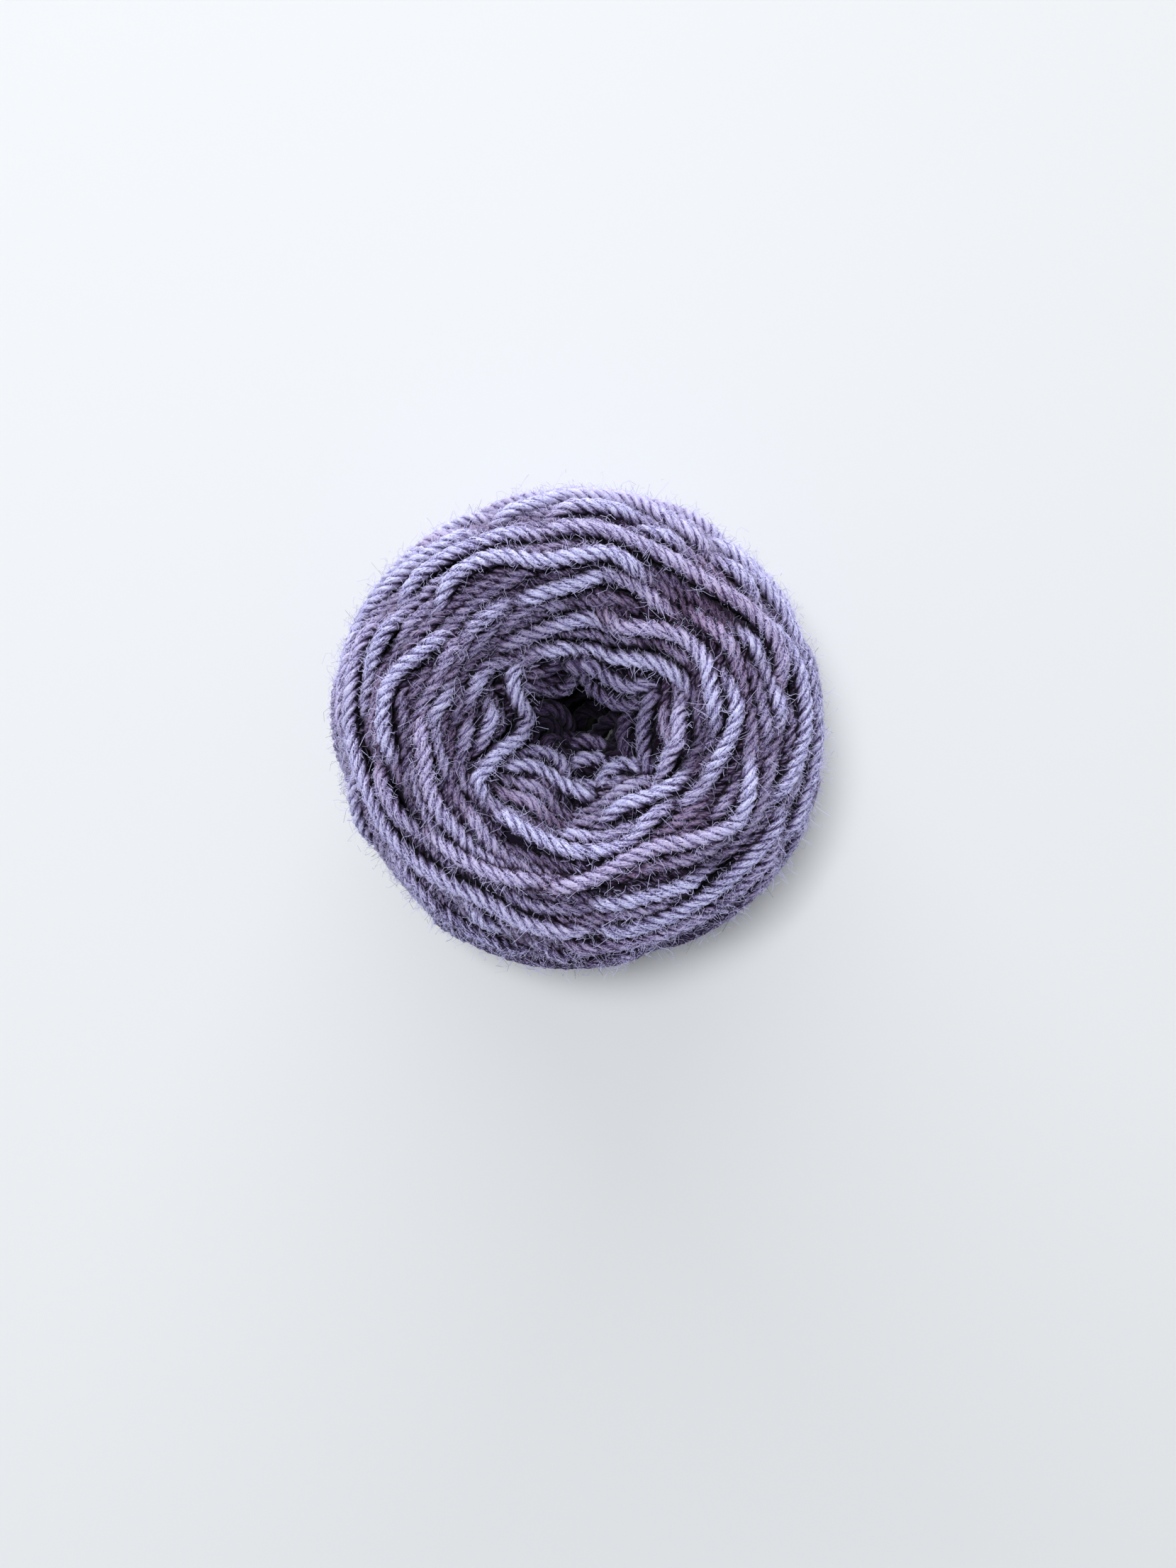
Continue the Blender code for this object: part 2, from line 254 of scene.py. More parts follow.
INNER_TURNS = (
    InnerTurn(0.50, ((-1.0, 11.5, 50.0), (0.8, 10.2, 48.0), (1.8, 8.6, 46.0), (3.3, 6.9, 45.0),
         (5.6, 5.4, 45.0), (8.7, 4.4, 46.0), (11.5, 5.0, 48.0), (13.5, 6.0, 50.0))),
    InnerTurn(0.70, ((1.6, 11.6, 50.0), (3.6, 10.6, 49.0), (5.9, 9.2, 48.5), (9.0, 7.8, 49.0),
         (12.6, 8.2, 51.0))),
    InnerTurn(0.50, ((-13.0, 7.6, 48.0), (-9.0, 7.6, 45.0), (-6.1, 7.0, 44.0), (-3.7, 7.0, 43.0),
         (-1.4, 8.5, 44.0), (0.1, 10.6, 46.0), (1.0, 12.8, 49.0))),
    InnerTurn(0.40, ((-12.0, 8.4, 48.0), (-10.2, 9.7, 46.0), (-7.9, 9.6, 45.0), (-5.5, 10.9, 46.0),
         (-3.2, 12.4, 48.0))),
    InnerTurn(0.18, ((-10.0, 1.6, 46.0), (-7.9, 3.3, 45.0), (-5.5, 3.9, 44.0), (-3.4, 3.0, 42.0),
         (-2.0, 1.1, 39.0), (-1.7, -1.2, 36.0))),
    InnerTurn(0.08, ((-9.0, -2.0, 45.0), (-8.0, 0.2, 44.5), (-6.2, 1.3, 43.5), (-4.6, 0.4, 41.5),
         (-3.8, -1.6, 40.0))),
    InnerTurn(0.20, ((-6.4, -3.4, 43.0), (-5.4, -1.8, 42.0), (-3.6, -1.3, 40.0), (-1.6, -1.6, 38.5))),
    InnerTurn(0.06, ((-0.4, -0.6, 29.0), (0.0, 1.3, 29.0), (0.9, 3.0, 29.0), (2.2, 3.8, 30.0),
         (3.4, 3.4, 30.0))),
    InnerTurn(0.12, ((3.8, -0.2, 33.0), (5.1, 1.3, 35.0), (6.9, 2.0, 37.0), (8.9, 1.4, 39.0),
         (10.5, 0.0, 41.0))),
    InnerTurn(0.30, ((10.6, 5.6, 46.0), (9.3, 3.0, 45.0), (8.3, 0.0, 44.0), (8.3, -3.0, 44.0),
         (9.3, -5.6, 45.0), (11.0, -7.4, 46.0))),
    InnerTurn(0.60, ((13.4, 6.4, 50.0), (12.2, 3.0, 49.0), (11.7, -0.6, 48.5), (11.8, -4.0, 48.5),
         (12.6, -7.0, 49.5))),
    InnerTurn(0.50, ((-4.2, -4.6, 40.0), (-2.0, -3.4, 39.0), (0.2, -2.3, 39.0), (2.6, -2.3, 39.5),
         (4.9, -3.6, 40.0), (6.6, -5.0, 41.0), (7.6, -6.8, 43.0))),
    InnerTurn(0.78, ((-2.2, -8.6, 44.0), (-1.4, -6.8, 44.0), (0.2, -5.6, 44.0), (2.2, -5.4, 44.0),
         (4.6, -5.8, 44.0), (6.6, -6.8, 45.0))),
    InnerTurn(0.85, ((4.0, -10.0, 46.0), (5.0, -8.0, 46.0), (6.8, -6.8, 46.5), (9.0, -6.3, 47.0),
         (11.2, -6.8, 48.0))),
    InnerTurn(0.80, ((-6.6, -8.2, 44.5), (-3.0, -9.4, 45.0), (0.6, -10.2, 45.5), (4.2, -10.2, 46.0),
         (8.0, -9.4, 47.0))),
    InnerTurn(0.80, ((-3.0, -7.6, 42.5), (0.4, -8.0, 42.5), (3.6, -8.2, 43.0), (6.6, -8.0, 44.0))),
    InnerTurn(0.75, ((-14.0, -4.6, 49.0), (-10.8, -4.7, 47.0), (-7.9, -4.2, 46.0), (-5.0, -4.8, 45.0),
         (-3.1, -6.5, 45.5), (-2.6, -8.6, 46.0))),
    InnerTurn(0.90, ((-12.6, -6.6, 49.5), (-9.0, -6.6, 48.5), (-5.5, -8.2, 47.5), (-2.0, -10.4, 47.5),
         (1.6, -12.0, 48.0))),
)

SWEEPS = (
    (Zone.HOLE, 16, 3),
    (Zone.UNDERSIDE, 16, 3),
    (Zone.SIDE, 16, 3),
    (Zone.CROWN, 16, 2),
    (Zone.MOUTH, 20, 2),
    (Zone.TOP, 20, 2),
)

FUZZ_SHARES = {Zone.TOP: 1.4, Zone.MOUTH: 1.6, Zone.SIDE: 0.9, Zone.HOLE: 1.4}

SHADOW_COLOURS = ((0.010, 0.007, 0.014), (0.018, 0.013, 0.026))


def smooth_step(value: Array, start: float, full: float) -> Array:
    """0 at start and 1 at full, with a smooth change between them, whichever is the larger."""
    share = np.clip((value - start) / (full - start), 0.0, 1.0)
    return share * share * (3.0 - 2.0 * share)


def smoothed(values: Array, reach: float) -> Array:
    """Values averaged with a bell curve.

    Args:
        values: The row of values, which keeps its length.
        reach: The bell's half width, in steps.

    Returns:
        The averaged row, with its ends held.
    """
    half = max(1, int(3 * reach))
    steps = np.arange(-half, half + 1)
    bell = np.exp(-0.5 * (steps / max(reach, 1e-3)) ** 2)
    bell /= bell.sum()
    padded = np.concatenate([np.full(half, values[0]), values, np.full(half, values[-1])])
    return np.convolve(padded, bell, mode="valid")


def highest_near(values: Array, reach: int) -> Array:
    """The largest value near each.

    Args:
        values: The row of values.
        reach: How many steps count as near.

    Returns:
        A row as long as the values.
    """
    best = values.copy()
    for step in range(1, reach + 1):
        best[:-step] = np.maximum(best[:-step], values[step:])
        best[step:] = np.maximum(best[step:], values[:-step])
    return best


def signed_turn(angle: Array) -> Array:
    """The same angle between half a turn back and half a turn on."""
    return (angle + math.pi) % FULL_TURN - math.pi


def slow_noise(length: Array, spacing: float, draws: np.random.Generator) -> Array:
    """A smooth random wander between about -1 and 1.

    Args:
        length: Distances along a strand.
        spacing: The distance between its random knots.
        draws: The source of random numbers.

    Returns:
        The wander at each distance.
    """
    count = int(length[-1] / spacing) + 4
    knots = draws.uniform(-1.0, 1.0, count)
    at = length / spacing
    index = np.minimum(at.astype(int), count - 2)
    share = smooth_step(at - index, 0.0, 1.0)
    return knots[index] * (1.0 - share) + knots[index + 1] * share


def through(places: Array, steps: int) -> Array:
    """A smooth curve through the places.

    Args:
        places: Rows of points of any dimension.
        steps: How many points are made between two places.

    Returns:
        The points of the curve, from the first place to the last.
    """
    padded = np.vstack([2 * places[0] - places[1], places, 2 * places[-1] - places[-2]])
    share = (np.arange(steps) / steps)[:, None]
    rows = []
    for before, start, end, after in zip(padded, padded[1:], padded[2:], padded[3:]):
        row = 2 * start + (end - before) * share
        row = row + (2 * before - 5 * start + 4 * end - after) * share**2
        row = row + (3 * start - before - 3 * end + after) * share**3
        rows.append(0.5 * row)
    return np.vstack([*rows, places[-1:]])


@dataclass(frozen=True)
class Viewpoint:
    """Where the camera stands above the cake, in millimetres."""

    across: float = 1.7
    along: float = -9.8
    belt_height: float = 30.0
    distance: float = 300.0
    lens: float = 38.3

    def under_sight(self, drawn: Array, height: Array) -> Array:
        """Where places lie, from where the camera draws them on the plane of the belt.

        Args:
            drawn: Rows of x and y as the camera draws them.
            height: The height of each place.

        Returns:
            Rows of x and y as they lie.
        """
        share = (self.distance - (height - self.belt_height)) / self.distance
        foot = np.array([self.across, self.along])
        return foot + (drawn - foot) * share[:, None]


@dataclass
class CakeForm:
    """The smooth form that the turns build up, as a closed outline that is swept round and shaped.

    The belt is a little oval and wavy, the mouth has six soft sides, and the hole lies off the middle.
    """

    fine_step: float = 0.25
    corner_reach: float = 5.0
    belt_start: float = 21.4
    belt_ovality: float = 0.017
    belt_wave: float = 0.006
    belt_wave_count: int = 4
    mouth_sides: int = 6
    mouth_corner: float = math.radians(3.0)
    mouth_depth: float = 0.07
    mouth_heights: Span = (32.0, 44.0)
    mouth_radii: Span = (25.0, 15.0)
    trough_end: float = math.radians(14.0)
    hole_across: float = 1.8
    hole_along: float = 0.9
    hole_radii: Span = (18.0, 7.0)
    sight_rounds: int = 8
    sight_height: float = 55.0
    run: Array = field(init=False)
    radius: Array = field(init=False)
    height: Array = field(init=False)
    out_radius: Array = field(init=False)
    out_height: Array = field(init=False)

    def __post_init__(self) -> None:
        """Works out the outline at even steps, with its outward directions."""
        stations = np.array([(s.radius, s.height) for s in OUTLINE])
        first = np.array([2 * stations[0][0] - stations[1][0], -stations[1][1]])
        last = np.array([2 * stations[-1][0] - stations[-2][0], -stations[-2][1]])
        steps = 24
        curve = through(np.vstack([first, stations, last]), steps)[steps:-steps]
        closed = np.vstack([curve, curve[:1]])
        run = np.concatenate([[0.0], np.cumsum(np.linalg.norm(np.diff(closed, axis=0), axis=1))])
        count = int(run[-1] / self.fine_step)
        self.run = np.linspace(0.0, run[-1], count, endpoint=False)
        self.radius = np.interp(self.run, run, closed[:, 0])
        self.height = np.interp(self.run, run, closed[:, 1])
        along_radius = self._round(np.roll(self.radius, -1) - np.roll(self.radius, 1))
        along_height = self._round(np.roll(self.height, -1) - np.roll(self.height, 1))
        size = np.hypot(along_radius, along_height)
        self.out_radius = -along_height / size
        self.out_height = along_radius / size
        self.total = float(run[-1])
        self.station_run = {
            s.name: float(self.run[np.argmin(np.hypot(self.radius - s.radius, self.height - s.height))])
            for s in OUTLINE
        }

    def _round(self, values: Array) -> Array:
        """Values of the closed outline averaged over a few steps, so that its corners turn smoothly."""
        size = len(values)
        return smoothed(np.tile(values, 3), self.corner_reach)[size : 2 * size]

    def _at(self, table: Array, run: Array) -> Array:
        """A row of the closed outline read at any run."""
        return np.interp(run, self.run, table, period=self.total)

    def radius_at(self, run: Array) -> Array:
        """The outline's radius at a run."""
        return self._at(self.radius, run)

    def height_at(self, run: Array) -> Array:
        """The outline's height at a run."""
        return self._at(self.height, run)

    def trough_depth(self, clock: Array, radius: Array) -> Array:
        """How far the troughs lower the crown.

        Args:
            clock: Clock angles in radians.
            radius: Radii.

        Returns:
            The depth at each place.
        """
        depth = np.zeros(np.broadcast(clock, radius).shape)
        for trough in TROUGHS:
            middle = math.radians(0.5 * (trough.start + trough.end))
            half = math.radians(0.5 * (trough.end - trough.start))
            offset = signed_turn(clock - middle)
            share = np.clip(0.5 * (offset / half + 1.0), 0.0, 1.0)
            line = trough.start_radius + share * (trough.end_radius - trough.start_radius)
            across = np.exp(-(((radius - line) / trough.half_width) ** 2))
            ends = smooth_step(np.abs(offset), half + self.trough_end, half)
            depth = depth + trough.depth * across * ends
        return depth

    def _hole_shift(self, radius: Array) -> Array:
        """How far x and y move at each radius, because the hole lies off the middle."""
        return smooth_step(radius, *self.hole_radii)[:, None] * np.array([self.hole_across, self.hole_along])

    def place(self, clock: Array, run: Array, rise: Array) -> Array:
        """Where a point of the cake lies.

        Args:
            clock: Clock angles in radians.
            run: Distances along the outline.
            rise: Distances out of the outline.

        Returns:
            Points as rows of x, y and z.
        """
        out_height = self._at(self.out_height, run)
        radius = self.radius_at(run) + rise * self._at(self.out_radius, run)
        height = self.height_at(run) + rise * out_height
        height = height - self.trough_depth(clock, radius) * np.maximum(out_height, 0.0)
        fade = np.clip((radius - self.belt_start) / self.belt_start, 0.0, 1.0)
        oval = -self.belt_ovality * np.cos(2.0 * clock)
        wave = self.belt_wave * np.sin(self.belt_wave_count * clock)
        above = smooth_step(height, *self.mouth_heights) * smooth_step(radius, *self.mouth_radii)
        sides = self.mouth_depth * above * np.cos(self.mouth_sides * (clock - self.mouth_corner))
        radius = radius * (1.0 + fade * (oval + wave)) * (1.0 + sides)
        flat = np.stack([radius * np.sin(clock), radius * np.cos(clock)], axis=-1)
        return np.column_stack([flat + self._hole_shift(radius), height])

    def outward(self, clock: Array, run: Array) -> Array:
        """The direction that points out of the cake."""
        flat = self._at(self.out_radius, run)
        return np.column_stack([flat * np.sin(clock), flat * np.cos(clock), self._at(self.out_height, run)])

    def from_sight(self, view: Viewpoint, clock: Array, apparent: Array, rise: float) -> Array:
        """The clock angles and runs of places that the camera sees on the crown.

        Args:
            view: The camera's place.
            clock: Clock angles in the picture, in radians.
            apparent: Radii in the picture.
            rise: How far the places lie out of the outline.

        Returns:
            Rows of clock angle and run.
        """
        first = int(np.argmin(np.abs(self.run - self.station_run["hole_lower"])))
        last = int(np.argmin(np.abs(self.run - self.station_run["belt"])))
        runs = self.run[first:last]
        drawn = np.stack([apparent * np.sin(clock), apparent * np.cos(clock)], axis=-1)
        height = np.full(len(clock), self.sight_height)
        turned = clock.copy()
        found = np.zeros(len(clock))
        for _ in range(self.sight_rounds):
            flat = view.under_sight(drawn, height)
            flat = flat - self._hole_shift(np.hypot(*flat.T))
            turned = clock + signed_turn(np.arctan2(*flat.T) - clock)
            for index, (angle, radius) in enumerate(zip(turned, np.hypot(*flat.T))):
                swept = self.place(np.full(len(runs), angle), runs, np.full(len(runs), rise))[:, :2]
                swept = swept - self._hole_shift(np.hypot(*swept.T))
                found[index] = np.interp(radius, np.maximum.accumulate(np.hypot(*swept.T)), runs)
            height = 0.5 * (height + self.place(turned, found, np.full(len(found), rise))[:, 2])
        return np.stack([turned, found], axis=-1)


@dataclass
class Strand:
    """A length of yarn on the cake: clock angle, run and depth at even steps along it."""

    zone: Zone
    clock: Array
    run: Array
    length: Array
    side_clock: Array
    side_run: Array
    shade: float = 0.0
    tucked: bool = True
    sunk: float = 0.0
    depth: Array = field(default_factory=lambda: np.zeros(0))
    shows: Array = field(default_factory=lambda: np.zeros(0, bool))

    def stretches(self) -> list["Strand"]:
        """The stretches of the strand that show, each as a strand."""
        bounds = np.flatnonzero(np.diff(np.concatenate([[0], self.shows.astype(int), [0]])))
        rows = ("clock", "run", "length", "side_clock", "side_run", "depth", "shows")
        return [
            replace(self, **{row: getattr(self, row)[start:end] for row in rows})
            for start, end in zip(bounds[::2], bounds[1::2])
        ]


@dataclass
class Cover:
    """A map of how deep the turns placed so far reach, over clock angle and run.

    Turns are placed from the last one wound to the first. The last lie at the cake's surface, and each
    older one lies just under the later ones that cross it.
    """

    form: CakeForm
    yarn_radius: float = 1.58
    squash: float = 0.72
    step: float = 0.35
    clock_cells: int = 900
    feelers: int = 9
    feeler_reach: float = 0.9
    press_step: float = 0.8
    bridge: float = 3.0
    stiffness: float = 2.0
    chunk: float = 300.0
    margin: float = 12.0
    guard: float = 18.0
    tuck_reach: float = 9.0
    tuck_depth: float = 3.4
    tuck_free: float = 5.0
    deepest: float = 7.0
    free_depth: float = 2.4
    squeeze: float = 0.30
    seen_spread: float = 2.8
    depths: Array = field(init=False)

    def __post_init__(self) -> None:
        """Starts with nothing placed."""
        self.run_cells = int(self.form.total / self.step)
        self.run_cell = self.form.total / self.run_cells
        self.clock_cell = FULL_TURN / self.clock_cells
        self.depths = np.zeros((self.run_cells, self.clock_cells))

    def strand(self, zone: Zone, clock: Array, run: Array, shade: float, tucked: bool) -> Strand:
        """A strand along a path, at even steps.

        Args:
            zone: Where it lies.
            clock: Clock angles of the path, in radians.
            run: Runs of the path.
            shade: How light its dye is, about -1 to 1.
            tucked: Whether its ends dive under its neighbours.

        Returns:
            The strand, not yet placed.
        """
        radius = self.form.radius_at(0.5 * (run[1:] + run[:-1]))
        pieces = np.hypot(radius * np.diff(clock), np.diff(run))
        length = np.concatenate([[0.0], np.cumsum(pieces)])
        even = np.arange(0.0, length[-1], self.step)
        clock = np.interp(even, length, clock)
        run = np.interp(even, length, run)
        radius = self.form.radius_at(run)
        along_clock = np.gradient(clock, self.step)
        along_run = np.gradient(run, self.step)
        size = np.hypot(radius * along_clock, along_run)
        side_clock = -along_run / size / radius
        side_run = radius * along_clock / size
        return Strand(zone, clock, run, even, side_clock, side_run, shade, tucked)

    def _cells(self, clock: Array, run: Array) -> tuple[Array, Array]:
        """The cells of the map at some places.

        Args:
            clock: Clock angles in radians.
            run: Runs.

        Returns:
            The rows and the columns.
        """
        row = np.floor(run / self.run_cell).astype(int) % self.run_cells
        column = np.floor(clock / self.clock_cell).astype(int) % self.clock_cells
        return row, column

    def _under(self, strand: Strand, start: int, end: int) -> tuple[Array, Array]:
        """How a stretch of a strand lies under what is placed.

        Args:
            strand: The strand.
            start: The stretch's first step.
            end: The step after its last.

        Returns:
            Its depth at each step, and whether some of its width is free there.
        """
        best = np.full(end - start, -np.inf)
        free = np.zeros(end - start, bool)
        for share in np.linspace(-self.feeler_reach, self.feeler_reach, self.feelers):
            offset = share * self.yarn_radius
            row, column = self._cells(
                strand.clock[start:end] + offset * strand.side_clock[start:end],
                strand.run[start:end] + offset * strand.side_run[start:end],
            )
            placed = self.depths[row, column]
            reach = self.squash * self.yarn_radius * math.sqrt(1.0 - share * share)
            best = np.maximum(best, placed + reach)
            free |= placed <= 0.0
        best = highest_near(best, int(self.bridge / self.step))
        return smoothed(best, self.stiffness / self.step), free

    def _press(self, strand: Strand, start: int, end: int) -> None:
        """Adds a stretch of a strand to the map.

        Args:
            strand: The strand.
            start: The stretch's first step.
            end: The step after its last.
        """
        if end - start < 2:
            return
        part = slice(start, end)
        clock, run, depth = strand.clock[part], strand.run[part], strand.depth[part]
        jumps = np.maximum(np.abs(np.diff(clock)) / self.clock_cell, np.abs(np.diff(run)) / self.run_cell)
        places = np.concatenate([[0.0], np.cumsum(jumps)])
        fine = np.arange(0.0, places[-1], self.press_step)
        clock, run, depth = (np.interp(fine, places, values) for values in (clock, run, depth))
        side_clock = np.interp(fine, places, strand.side_clock[part])
        side_run = np.interp(fine, places, strand.side_run[part])
        least = min(self.run_cell, self.clock_cell * float(self.form.radius_at(run).min()))
        least = self.press_step * least
        count = int(2.0 * self.yarn_radius / least) + 1
        for share in np.linspace(-1.0, 1.0, count):
            offset = share * self.yarn_radius
            row, column = self._cells(clock + offset * side_clock, run + offset * side_run)
            under = depth + self.squash * self.yarn_radius * math.sqrt(max(0.0, 1.0 - share * share))
            np.maximum.at(self.depths, (row, column), under)

    def place(self, strand: Strand) -> Strand:
        """Puts a strand under those placed before it, and adds it to the map.

        Args:
            strand: The strand, whose depth and shows are filled in.

        Returns:
            The same strand.
        """
        count = len(strand.clock)
        strand.depth = np.zeros(count)
        strand.shows = np.zeros(count, bool)
        size = int(self.chunk / self.step)
        margin = int(self.margin / self.step)
        guard = int(self.guard / self.step)
        pressed = 0
        for start in range(0, count, size):
            end = min(count, start + size)
            low, high = max(0, start - margin), min(count, end + margin)
            depth, free = self._under(strand, low, high)
            squeezed = self.free_depth + self.squeeze * (depth - self.free_depth)
            depth = np.where(depth > self.free_depth, squeezed, depth)
            strand.depth[start:end] = depth[start - low : end - low] + strand.sunk
            strand.shows[start:end] = free[start - low : end - low]
            upto = end if end == count else max(pressed, end - guard)
            if upto > pressed:
                self._tuck(strand, pressed, upto)
                first = np.searchsorted(strand.length, self.tuck_free) if strand.tucked else 0
                last = count - first
                self._press(strand, max(pressed, first), min(upto, last))
                pressed = upto
        strand.shows &= strand.depth < self.deepest
        strand.shows = highest_near(strand.shows.astype(float), int(self.seen_spread / self.step)) > 0.5
        return strand

    def _tuck(self, strand: Strand, start: int, end: int) -> None:
        """Deepens the ends of a tucked strand, so that they dive under their neighbours.

        Args:
            strand: The strand.
            start: The first step to look at.
            end: The step after the last.
        """
        if not strand.tucked:
            return
        left = np.minimum(strand.length, strand.length[-1] - strand.length)[start:end]
        strand.depth[start:end] += self.tuck_depth * (1.0 - smooth_step(left, 0.0, self.tuck_reach))


@dataclass
class Winder:
    """Knows where a ball winder puts its turns, and places them from the last wound to the first."""

    form: CakeForm
    cover: Cover
    view: Viewpoint
    seed: int = 11
    side_loops: int = 64
    creep: float = math.radians(7.6)
    side_swing: float = 27.0
    side_swing_wander: float = 3.0
    side_wander: float = 0.9
    ring_points: int = 160
    ring_overlap: float = 1.02
    ring_beat: float = 2.1
    ring_wander: float = 0.7
    ring_sunk: float = 0.8
    hole_pitch: float = 2.9
    hole_swing: float = 2.2
    hole_beat: float = 0.93
    crown_run_on: float = 7.0
    rim_run_on: float = 16.0
    run_on_step: float = 0.7
    turn_down: float = 24.0
    steepest_tip: float = 0.35
    side_slope: float = 0.45
    mouth_radius: float = 24.0
    beside_pitch: float = 2.8
    beside_sunk: float = 0.35
    beside_wander: float = 0.5
    lay_sunk: dict[Lay, float] = field(
        default_factory=lambda: {Lay.DEEP: 1.6, Lay.UNDER: 0.8, Lay.MIDDLE: 0.3, Lay.OVER: 0.1, Lay.LAST: 0.0}
    )
    strands: list[Strand] = field(default_factory=list)

    def __post_init__(self) -> None:
        """Starts the random draws."""
        self.draws = np.random.default_rng(self.seed)

    def _add(self, strand: Strand) -> None:
        """Places a strand and keeps it."""
        self.strands.append(self.cover.place(strand))

    def _shade(self) -> float:
        """A random shade for one strand."""
        return float(self.draws.uniform(-0.5, 0.5))

    def wind_hole(self) -> None:
        """Lays the turns of the hole's wall, from its foot to the funnel."""
        start = self.form.station_run["base_inner_edge"]
        end = self.form.station_run["funnel"]
        turns = int((end - start) / self.hole_pitch)
        clock = np.linspace(0.0, FULL_TURN * turns, turns * 60)
        run = start + (end - start) * clock / clock[-1] + self.hole_swing * np.sin(clock * self.hole_beat)
        self._add(self.cover.strand(Zone.HOLE, clock, run, self._shade(), False))

    def wind_rings(self, zone: Zone, first: float, last: float, pitch: float, swing: float) -> None:
        """Lays older turns over the crown, the side or the underside, as wavering rings.

        Args:
            zone: Where they lie.
            first: The run of the first ring.
            last: The run of the last ring.
            pitch: The distance between rings.
            swing: How far each wavers along the outline.
        """
        turns = int(abs(last - first) / pitch)
        for turn in range(turns):
            middle = first + (last - first) * turn / max(1, turns - 1)
            phase = self.draws.uniform(0.0, FULL_TURN)
            clock = np.linspace(0.0, FULL_TURN * self.ring_overlap, self.ring_points) + phase
            wander = slow_noise(np.linspace(0.0, 12.0, self.ring_points), 2.0, self.draws)
            run = middle + swing * np.cos(clock - self.ring_beat * turn) + self.ring_wander * wander
            ring = self.cover.strand(zone, clock, run, self._shade(), True)
            ring.sunk = self.ring_sunk if zone is Zone.CROWN else 0.0
            self._add(ring)

    def wind_side(self) -> None:
        """Lays the tilted loops that cross the side, each a little further round than the last."""
        middle = 0.5 * (self.form.station_run["shoulder"] + self.form.station_run["lower_shoulder"])
        clock = np.arange(0.0, FULL_TURN * self.side_loops, math.radians(2.0))
        turn = clock / FULL_TURN
        swing = self.side_swing + self.side_swing_wander * slow_noise(turn, 0.5, self.draws)
        wander = self.side_wander * slow_noise(turn, 0.21, self.draws)
        run = middle - swing * np.cos(clock - self.creep * turn) + wander
        self._add(self.cover.strand(Zone.SIDE, clock[::-1], run[::-1], self._shade(), True))

    def wind_crown(self) -> None:
        """Lays the turns that show on the crown, the last ones first, and older ones beside them."""
        beside = []
        for turn in sorted(CROWN_TURNS, key=lambda t: -t.lay.value):
            places = np.array(turn.places, float)
            clock = np.radians(places[:, 0])
            found = self.form.from_sight(self.view, clock, places[:, 1], -self.cover.yarn_radius)
            path = self._run_on(through(found, 14))
            zone = Zone.MOUTH if places[:, 1].mean() < self.mouth_radius else Zone.TOP
            shade = turn.shade + 0.5 * self._shade()
            strand = self.cover.strand(zone, path[:, 0], path[:, 1], shade, True)
            strand.sunk = self.lay_sunk[turn.lay]
            self._add(strand)
            beside.append((zone, path))
        rim = self.form.station_run["shoulder"] + 1.0
        for shift in (self.beside_pitch, -self.beside_pitch):
            for zone, path in beside:
                if path[:, 1].max() + shift > rim:
                    continue
                wander = self.beside_wander * slow_noise(np.linspace(0.0, 20.0, len(path)), 6.0, self.draws)
                run = path[:, 1] + shift + wander
                strand = self.cover.strand(zone, path[:, 0], run, self._shade(), True)
                strand.sunk = self.beside_sunk
                self._add(strand)

    def _run_on(self, path: Array) -> Array:
        """Makes a path longer at both ends: on the crown a little, at the rim a long way down the side.

        Args:
            path: Rows of clock angle and run.

        Returns:
            The longer path.
        """
        rim = self.form.station_run["shoulder"] - 2.0
        ends = []
        for tip, back in ((path[0], path[8]), (path[-1], path[-9])):
            on_rim = tip[1] > rim
            reach = self.rim_run_on if on_rim else self.crown_run_on
            radius = float(self.form.radius_at(tip[1]))
            round_way = math.copysign(1.0, tip[0] - back[0])
            slope = math.atan2(tip[1] - back[1], abs(radius * (tip[0] - back[0])))
            slope = float(np.clip(slope, -self.steepest_tip, self.steepest_tip))
            steepest = self.side_slope if on_rim else slope
            places = [tip]
            for step in range(1, int(reach / self.run_on_step) + 1):
                share = min(1.0, step * self.run_on_step / self.turn_down)
                angle = slope + share * (steepest - slope)
                along = round_way * math.cos(angle) * self.run_on_step / radius
                places.append(places[-1] + np.array([along, math.sin(angle) * self.run_on_step]))
            ends.append(np.array(places[1:]))
        return np.vstack([ends[0][::-1], path, ends[1]])

    def wind(self) -> list[Strand]:
        """Places every turn.

        Returns:
            The strands, the last wound first.
        """
        runs = self.form.station_run
        shoulder, throat, base = runs["shoulder"], runs["throat"], runs["base_outer_edge"]
        self.wind_crown()
        self.wind_side()
        self.wind_rings(Zone.SIDE, shoulder - 4.0, runs["lower_shoulder"] + 4.0, 2.6, 1.0)
        self.wind_rings(Zone.CROWN, shoulder, throat + 2.0, 2.3, 1.2)
        self.wind_rings(Zone.CROWN, shoulder - 1.2, throat + 3.0, 2.3, 1.6)
        self.wind_rings(Zone.UNDERSIDE, base - 6.0, self.form.total - 1.0, 2.5, 1.8)
        self.wind_rings(Zone.UNDERSIDE, base - 5.0, self.form.total - 0.5, 2.4, 0.6)
        self.wind_hole()
        return self.strands


